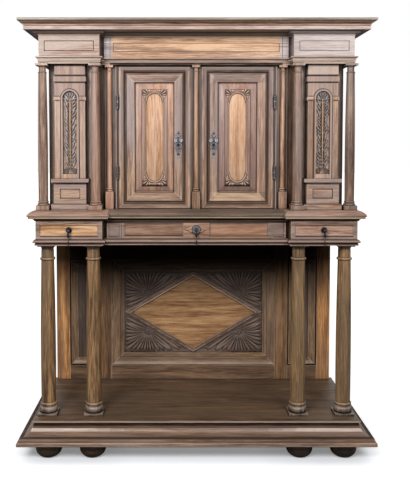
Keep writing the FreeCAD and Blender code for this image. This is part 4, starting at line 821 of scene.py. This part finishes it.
def bead(radius, place, depth_share=0.8):
    ball = new_piece("bead", bpy.ops.mesh.primitive_uv_sphere_add, segments=16, ring_count=8,
                     radius=radius, location=place, scale=(1, depth_share, 1))
    bpy.ops.object.shade_smooth()
    return ball


def sunburst():
    """The corner above and to the right of the panel's middle."""
    parts = []
    first, last = slope_angle + math.radians(13), slope_angle + math.radians(167)
    for ray in range(RAYS):
        angle = first + (last - first) * ray / (RAYS - 1)
        start = BURST_SPOT + heading(angle) * RAY_START
        length = reach_in_corner(start, angle)
        spread = (last - first) / (RAYS - 1) * (length + RAY_START) * 0.82
        width = min(max(spread, NARROWEST_RAY), WIDEST_RAY)
        size = (length / LEAF_LENGTH, 1.05 - 0.15 * (ray % 2), width / LEAF_WIDTH)
        bend = 0.0 if 2 < ray < RAYS - 3 else math.copysign(0.15, ray - 5)
        parts.append(lay(leaf, panel_middle + start, angle, size, bend))
    for way, length in ((1, 112 * MM), (-1, 168 * MM)):
        for out, share, bend in ((-14, 1.0, 0.16), (-1, 0.8, 0.3)):
            start = BURST_SPOT + slope_way * way * 14 * MM + slope_out * out * MM
            angle = slope_angle if way > 0 else slope_angle + math.pi
            size = (length * share / LEAF_LENGTH, 1.1, 13 * MM / LEAF_WIDTH)
            parts.append(lay(leaf, panel_middle + start, angle, size, bend * way))
    for right, out, radius in ((0, -6, 6.5), (-9, 6, 5), (9, 8, 5), (0, 15, 4.5)):
        spot = BURST_SPOT + slope_way * right * MM + slope_out * out * MM
        parts.append(bead(radius * MM, panel_middle + spot))
    return joined("sunburst_upper_right", parts, carving_oak, "carcass", "dark_oak")


def mirrored(piece, name, middle, x=1, z=1):
    """The same piece on the other side of a middle, turned right way out again."""
    copy = bpy.data.objects.new(name, piece.data.copy())
    bpy.context.scene.collection.objects.link(copy)
    about = Matrix.Translation(middle)
    copy.data.transform(about @ Matrix.Diagonal((x, 1, z, 1)) @ about.inverted())
    if x * z < 0:
        copy.data.flip_normals()
    copy.data.update()
    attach(copy, piece["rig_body"])
    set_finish(copy, piece["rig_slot"])
    return copy


burst = sunburst()
mirrored(burst, "sunburst_upper_left", panel_middle, x=-1)
mirrored(burst, "sunburst_lower_right", panel_middle, z=-1)
mirrored(burst, "sunburst_lower_left", panel_middle, x=-1, z=-1)
print("sunburst:", len(burst.data.polygons), "faces, four of them")


def rod(start, end, radius, sides=12):
    """A round bar between two places, smooth along its length."""
    way = end - start
    turn = way.to_track_quat("Z", "Y").to_euler()
    bar = new_piece("rod", bpy.ops.mesh.primitive_cylinder_add, vertices=sides, radius=radius,
                    depth=way.length, location=(start + end) / 2, rotation=turn)
    bpy.ops.object.shade_smooth_by_angle(angle=math.radians(40))
    return bar


slope_length = math.hypot(lozenge_half.x, lozenge_half.z)
bead_x = lozenge_half.x - (BAND_WIDTH - 4 * MM) * slope_length / lozenge_half.z
bead_z = bead_x * lozenge_half.z / lozenge_half.x
bead_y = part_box("lozenge_moulding")[0].y - panel_face
tips = [panel_middle + Vector(tip) for tip in ((bead_x, bead_y, 0), (0, bead_y, bead_z),
                                               (-bead_x, bead_y, 0), (0, bead_y, -bead_z))]
bars = [rod(tips[corner], tips[(corner + 1) % 4], 2.6 * MM) for corner in range(4)]
inner_bead = joined("lozenge_inner_bead", bars, lozenge_bead_oak, "carcass", "dark_oak")
print("bead along the lozenge:", round(bead_x * 2, 3), "m wide")

# %% [markdown]
# In each niche a plant climbs to the arch: a golden stem, pairs of leaves like a feather's barbs
# that fill the recess from side to side, no two quite alike, a fan in the round head and a curl
# at each side of the foot. It is no higher than the panel around it, so that nothing knocks
# against it. The leaves are grey from dust and wax, so they are one piece and the stem, which is
# rubbed, another.

# %% Foliage in the niches
NICHE_BACK = -168 * MM
NICHE_FOOT, NICHE_SPRING, NICHE_RADIUS = 1187.5 * MM, 1504 * MM, 30 * MM
STEM = 4.5 * MM
PAIRS, FIRST_PAIR, PAIR_STEP = 21, 21, 14.1     # how many, and mm above the foot
chance = random.Random(7)


def curl(place, radius, share=0.36):
    """A small ring. The share is how thick it is beside its radius."""
    ring = new_piece("curl", bpy.ops.mesh.primitive_torus_add, major_radius=radius,
                     minor_radius=radius * share, major_segments=20, minor_segments=8,
                     location=place, rotation=(math.pi / 2, 0, 0))
    bpy.ops.object.shade_smooth()
    return ring


def climbing_plant(name, x):
    foot = Vector((x, NICHE_BACK, NICHE_FOOT))
    stem_length = NICHE_SPRING - NICHE_FOOT - 4 * MM
    stem = [lay(leaf, foot + mm(0, 0, 4), math.pi / 2,
                (stem_length / LEAF_LENGTH, 0.95, STEM * 2 / LEAF_WIDTH))]
    leaves = []
    for pair in range(PAIRS):
        z = (FIRST_PAIR + PAIR_STEP * pair) * MM
        for side in (-1, 1):
            out = math.radians(90 - side * chance.uniform(50, 66))
            start = foot + Vector((side * STEM * 0.5, 0, z + chance.uniform(-1.5, 1.5) * MM))
            size = (chance.uniform(29, 32) * MM / LEAF_LENGTH, chance.uniform(0.75, 0.98),
                    chance.uniform(9.5, 11.5) * MM / LEAF_WIDTH)
            leaves.append(lay(leaf, start, out, size, bend=chance.uniform(0.6, 1.0) * side))
    crown = Vector((x, NICHE_BACK, NICHE_SPRING - 6 * MM))
    for ray in range(7):
        out = math.radians(90 + (ray - 3) * 27)
        leaves.append(lay(leaf, crown, out, (32 * MM / LEAF_LENGTH, 0.85, 10 * MM / LEAF_WIDTH)))
    stem.append(bead(STEM, crown))
    for side in (-1, 1):
        centre = foot + mm(side * 16, 0, 14)
        leaves.append(curl(centre, 8 * MM))
        leaves.append(bead(3 * MM, centre, 1.3))
    joined(name + "_stem", stem, stem_oak, "carcass", "honey_oak")
    return joined(name, leaves, foliage_oak, "carcass", "frame_oak")


for side, name in ((-1, "left_niche_foliage"), (1, "right_niche_foliage")):
    plant = climbing_plant(name, side * NICHE_X * MM)
print("niche foliage:", len(plant.data.polygons), "faces each")

# %% [markdown]
# The honey fields of the doors are framed by a carved bead: a half ring over the arched head
# that ends in a small curl on each shoulder, two straight beads at the sides and a half ring
# below. The four corners of the raised table hold a few strokes of foliage. A ring is cut in
# half by deleting the points on one side; the carving of one corner is mirrored to the others.

# %% Carving on the door panels
TABLE_FACE = -129          # mm, as are the middles of the door and of its panel
ARCH_RISE = 154.5 * MM     # from the middle of the field to the middle of each arch
ARCH_RADIUS = 35 * MM
BEAD_RADIUS = 3.0 * MM
STROKE_WIDTH = 7 * MM
STROKES = ((29, 24, 8, 20), (28, 27, 36, 25), (25, 30, 62, 22),     # right, up, degrees, length
           (9, 38, 24, 18), (40, 4, 76, 19), (19, 35, 55, 12))


def half_ring(centre, radius):
    ring = new_piece("half_ring", bpy.ops.mesh.primitive_torus_add, major_radius=radius,
                     minor_radius=BEAD_RADIUS, major_segments=40, minor_segments=8,
                     location=centre, rotation=(math.pi / 2, 0, 0))
    bpy.ops.object.mode_set(mode="EDIT")
    pick(ring, lambda p: p.z < centre.z - 0.1 * MM)
    bpy.ops.mesh.delete(type="VERT")
    bpy.ops.object.mode_set(mode="OBJECT")
    bpy.ops.object.shade_smooth()
    return ring


def field_half(middle):
    """The upper half of the carving on one door panel."""
    arch = middle + Vector((0, 0, ARCH_RISE))
    parts = [half_ring(arch, ARCH_RADIUS)]
    for side in (-1, 1):
        shoulder = arch + mm(side * 39.5, 0, -4)
        parts.append(curl(shoulder, 4.2 * MM, 0.5))
        parts.append(rod(shoulder - mm(0, 0, 3), middle + mm(side * 40), BEAD_RADIUS * 0.8))
        for right, up, degrees, length in STROKES:
            angle = math.radians(degrees if side > 0 else 180 - degrees)
            size = (length * MM / LEAF_LENGTH, 0.62, STROKE_WIDTH / LEAF_WIDTH)
            parts.append(lay(leaf, arch + mm(side * right, 0, up), angle, size))
    return parts


for side, body in ((-1, "left_door"), (1, "right_door")):
    middle = mm(side * DOOR_X, TABLE_FACE, DOOR_Z)
    upper = joined(body + "_upper_carving", field_half(middle), door_carving_oak, body, "pale_oak")
    mirrored(upper, body + "_lower_carving", middle, z=-1)
print("door carving:", len(upper.data.polygons), "faces, four of them")

# %% [markdown]
# The key plates were sawn and filed from thin iron and then chased, so they catch the light in
# spots: a bead on top, a crown band, two scrolls, a collar round the keyhole, a band and a drop
# below. The keyhole itself is a black disc, painted shade. A nail head sits beside each plate, and
# the drop handle in the middle hangs before a rosette of hammered petals.

# %% Chasing of the iron fittings
PLATE_X, PLATE_FACE, PLATE_Z = 75, -131.3, 1308.5     # mm
BAND_RADIUS = 1.8 * MM
for side, body in ((-1, "left_door"), (1, "right_door")):
    middle = mm(side * PLATE_X, PLATE_FACE, PLATE_Z)
    chased = []
    for right, up, radius in ((0, 49, 4.6), (0, 38, 3), (-8, 31, 2.6), (8, 31, 2.6), (0, -37, 5.6),
                              (-14, 8, 2.4), (14, 8, 2.4), (-11, -14, 2.6), (11, -14, 2.6),
                              (-side * 22, -3, 2.8)):
        chased.append(bead(radius * MM, middle + mm(right, 0, up), 0.6))
    for right, up, radius in ((-11, 20, 4.6), (11, 20, 4.6), (0, -51, 3.4), (0, 0, 7.6)):
        chased.append(curl(middle + mm(right, 0, up), radius * MM, 0.3))
    for up, half in ((44, 7), (-22, 10), (-27, 6)):
        chased.append(rod(middle + mm(-half, 0, up), middle + mm(half, 0, up), BAND_RADIUS))
    joined(body + "_plate_chasing", chased, iron, body, "iron")
    # A black disc painted as the shade inside the keyhole.
    hole = new_piece("keyhole", bpy.ops.mesh.primitive_cylinder_add, vertices=24, radius=6 * MM,
                     depth=1.4 * MM, location=middle, rotation=(math.pi / 2, 0, 0))
    joined(body + "_keyhole_shadow", [hole], keyhole_shade, body, "iron")

drop_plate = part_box("centre_pull_plate")
rosette_middle = Vector((0, drop_plate[1].y - 0.6 * MM, 956.25 * MM))
petals = []
for petal in range(10):
    angle = math.radians(36 * petal)
    petals.append(bead(5.2 * MM, rosette_middle + heading(angle) * 15 * MM, 0.5))
petals.append(curl(rosette_middle, 9 * MM, 0.2))
joined("centre_rosette", petals, black_iron, "centre_drawer", "iron")
print("iron details done")

# %% [markdown]
# The set is white paper, as in a dealer's photograph. The lamps alone can't make the floor white
# without bleaching the oak, so for the camera the paper also glows a little, more with distance,
# and less where Ambient Occlusion finds it covered, which paints a soft shadow under the base.
# To every other ray it is grey, or it would light the stage under the drawers from below.

# %% Floor


def paper():
    material, tree, shader = new_material("white paper floor")
    fill(tree, shader, {"Base Color": "#7c7f83", "Roughness": 0.9})
    bright = add(tree, "BsdfDiffuse", {"Color": "#e6e9ee"})
    place = add(tree, "TexCoord").outputs["Object"]
    away = add(tree, "VectorMath", [place], "LENGTH")
    far = add(tree, "MapRange", [away, 0.8, 2.5, 0.75, 1.05])
    open_air = add(tree, "AmbientOcclusion", {"Distance": 0.12}).outputs["AO"]
    uncovered = add(tree, "MapRange", [open_air, 0.35, 0.95, 0.3, 1.0])
    strength = add(tree, "Math", [far, uncovered], "MULTIPLY")
    seen = add(tree, "AddShader", [bright, add(tree, "Emission", {"Strength": strength})])
    camera_ray = add(tree, "LightPath").outputs["Is Camera Ray"]
    choice = add(tree, "MixShader", [camera_ray, shader, seen])
    fill(tree, tree.nodes["Material Output"], {"Surface": choice})
    return material


bpy.ops.object.select_all(action="DESELECT")
bpy.ops.mesh.primitive_plane_add(size=60)
floor = bpy.context.object
floor.name = "studio_floor"
floor.data.materials.append(paper())
print("floor:", floor.dimensions[0], "m square")

# %% [markdown]
# Two soft lamps stand in front, the left one stronger, a little above the cornice. So the cornice
# throws only a thin shadow, the drawer tier throws a deep one on the back wall, and columns are
# bright left of their middle. The sky is weak for matt surfaces, to keep the recesses dark, and
# white for reflections, so that waxed wood and iron show the white room they stand in.

# %% Light and camera
world = bpy.data.worlds.new("studio light")
bpy.context.scene.world = world
world.use_nodes = True
room = world.node_tree
paths = add(room, "LightPath").outputs
shown = 0.0
for kind in ("Is Camera Ray", "Is Glossy Ray", "Is Transmission Ray"):
    shown = add(room, "Math", [shown, paths[kind]], "MAXIMUM")
level = add(room, "MapRange", [shown, 0.0, 1.0, 0.13, 1.0])
fill(room, room.nodes["Background"], {"Color": "#ffffff", "Strength": level})


def softbox(name, place, target, size, power):
    bpy.ops.object.light_add(type="AREA", location=place)
    lamp = bpy.context.object
    lamp.name = name
    lamp.data.shape = "RECTANGLE"
    lamp.data.size, lamp.data.size_y = size
    lamp.data.energy = power
    lamp.rotation_euler = (Vector(target) - Vector(place)).to_track_quat("-Z", "Y").to_euler()
    lamp.visible_camera = False
    return lamp


CHEST, SOFTBOX_SIZE = (0, 0, 1.1), (1.1, 0.9)
softbox("left_softbox", (-1.35, -2.65, 2.25), CHEST, SOFTBOX_SIZE, 73)
softbox("right_softbox", (1.3, -2.7, 2.25), CHEST, SOFTBOX_SIZE, 46)

FOCAL, LONG_SIDE, SHIFT = 656.7, 490, (29.5, -68.5)     # in pixels of the picture
TILT = 0.045                                            # downwards, in radians
bpy.ops.object.camera_add(location=(-0.087, -2.9194, 1.301))
camera = bpy.context.object
camera.rotation_euler = (math.pi / 2 - TILT, 0, 0)
camera.data.sensor_width = 36
camera.data.lens = FOCAL * camera.data.sensor_width / LONG_SIDE
camera.data.shift_x, camera.data.shift_y = (way / LONG_SIDE for way in SHIFT)
bpy.context.scene.camera = camera
bpy.context.scene.view_settings.view_transform = "Standard"
print("camera at", tuple(round(v, 3) for v in camera.location), "lens", round(camera.data.lens, 1))

# %% Tidy up
bpy.data.objects.remove(leaf)
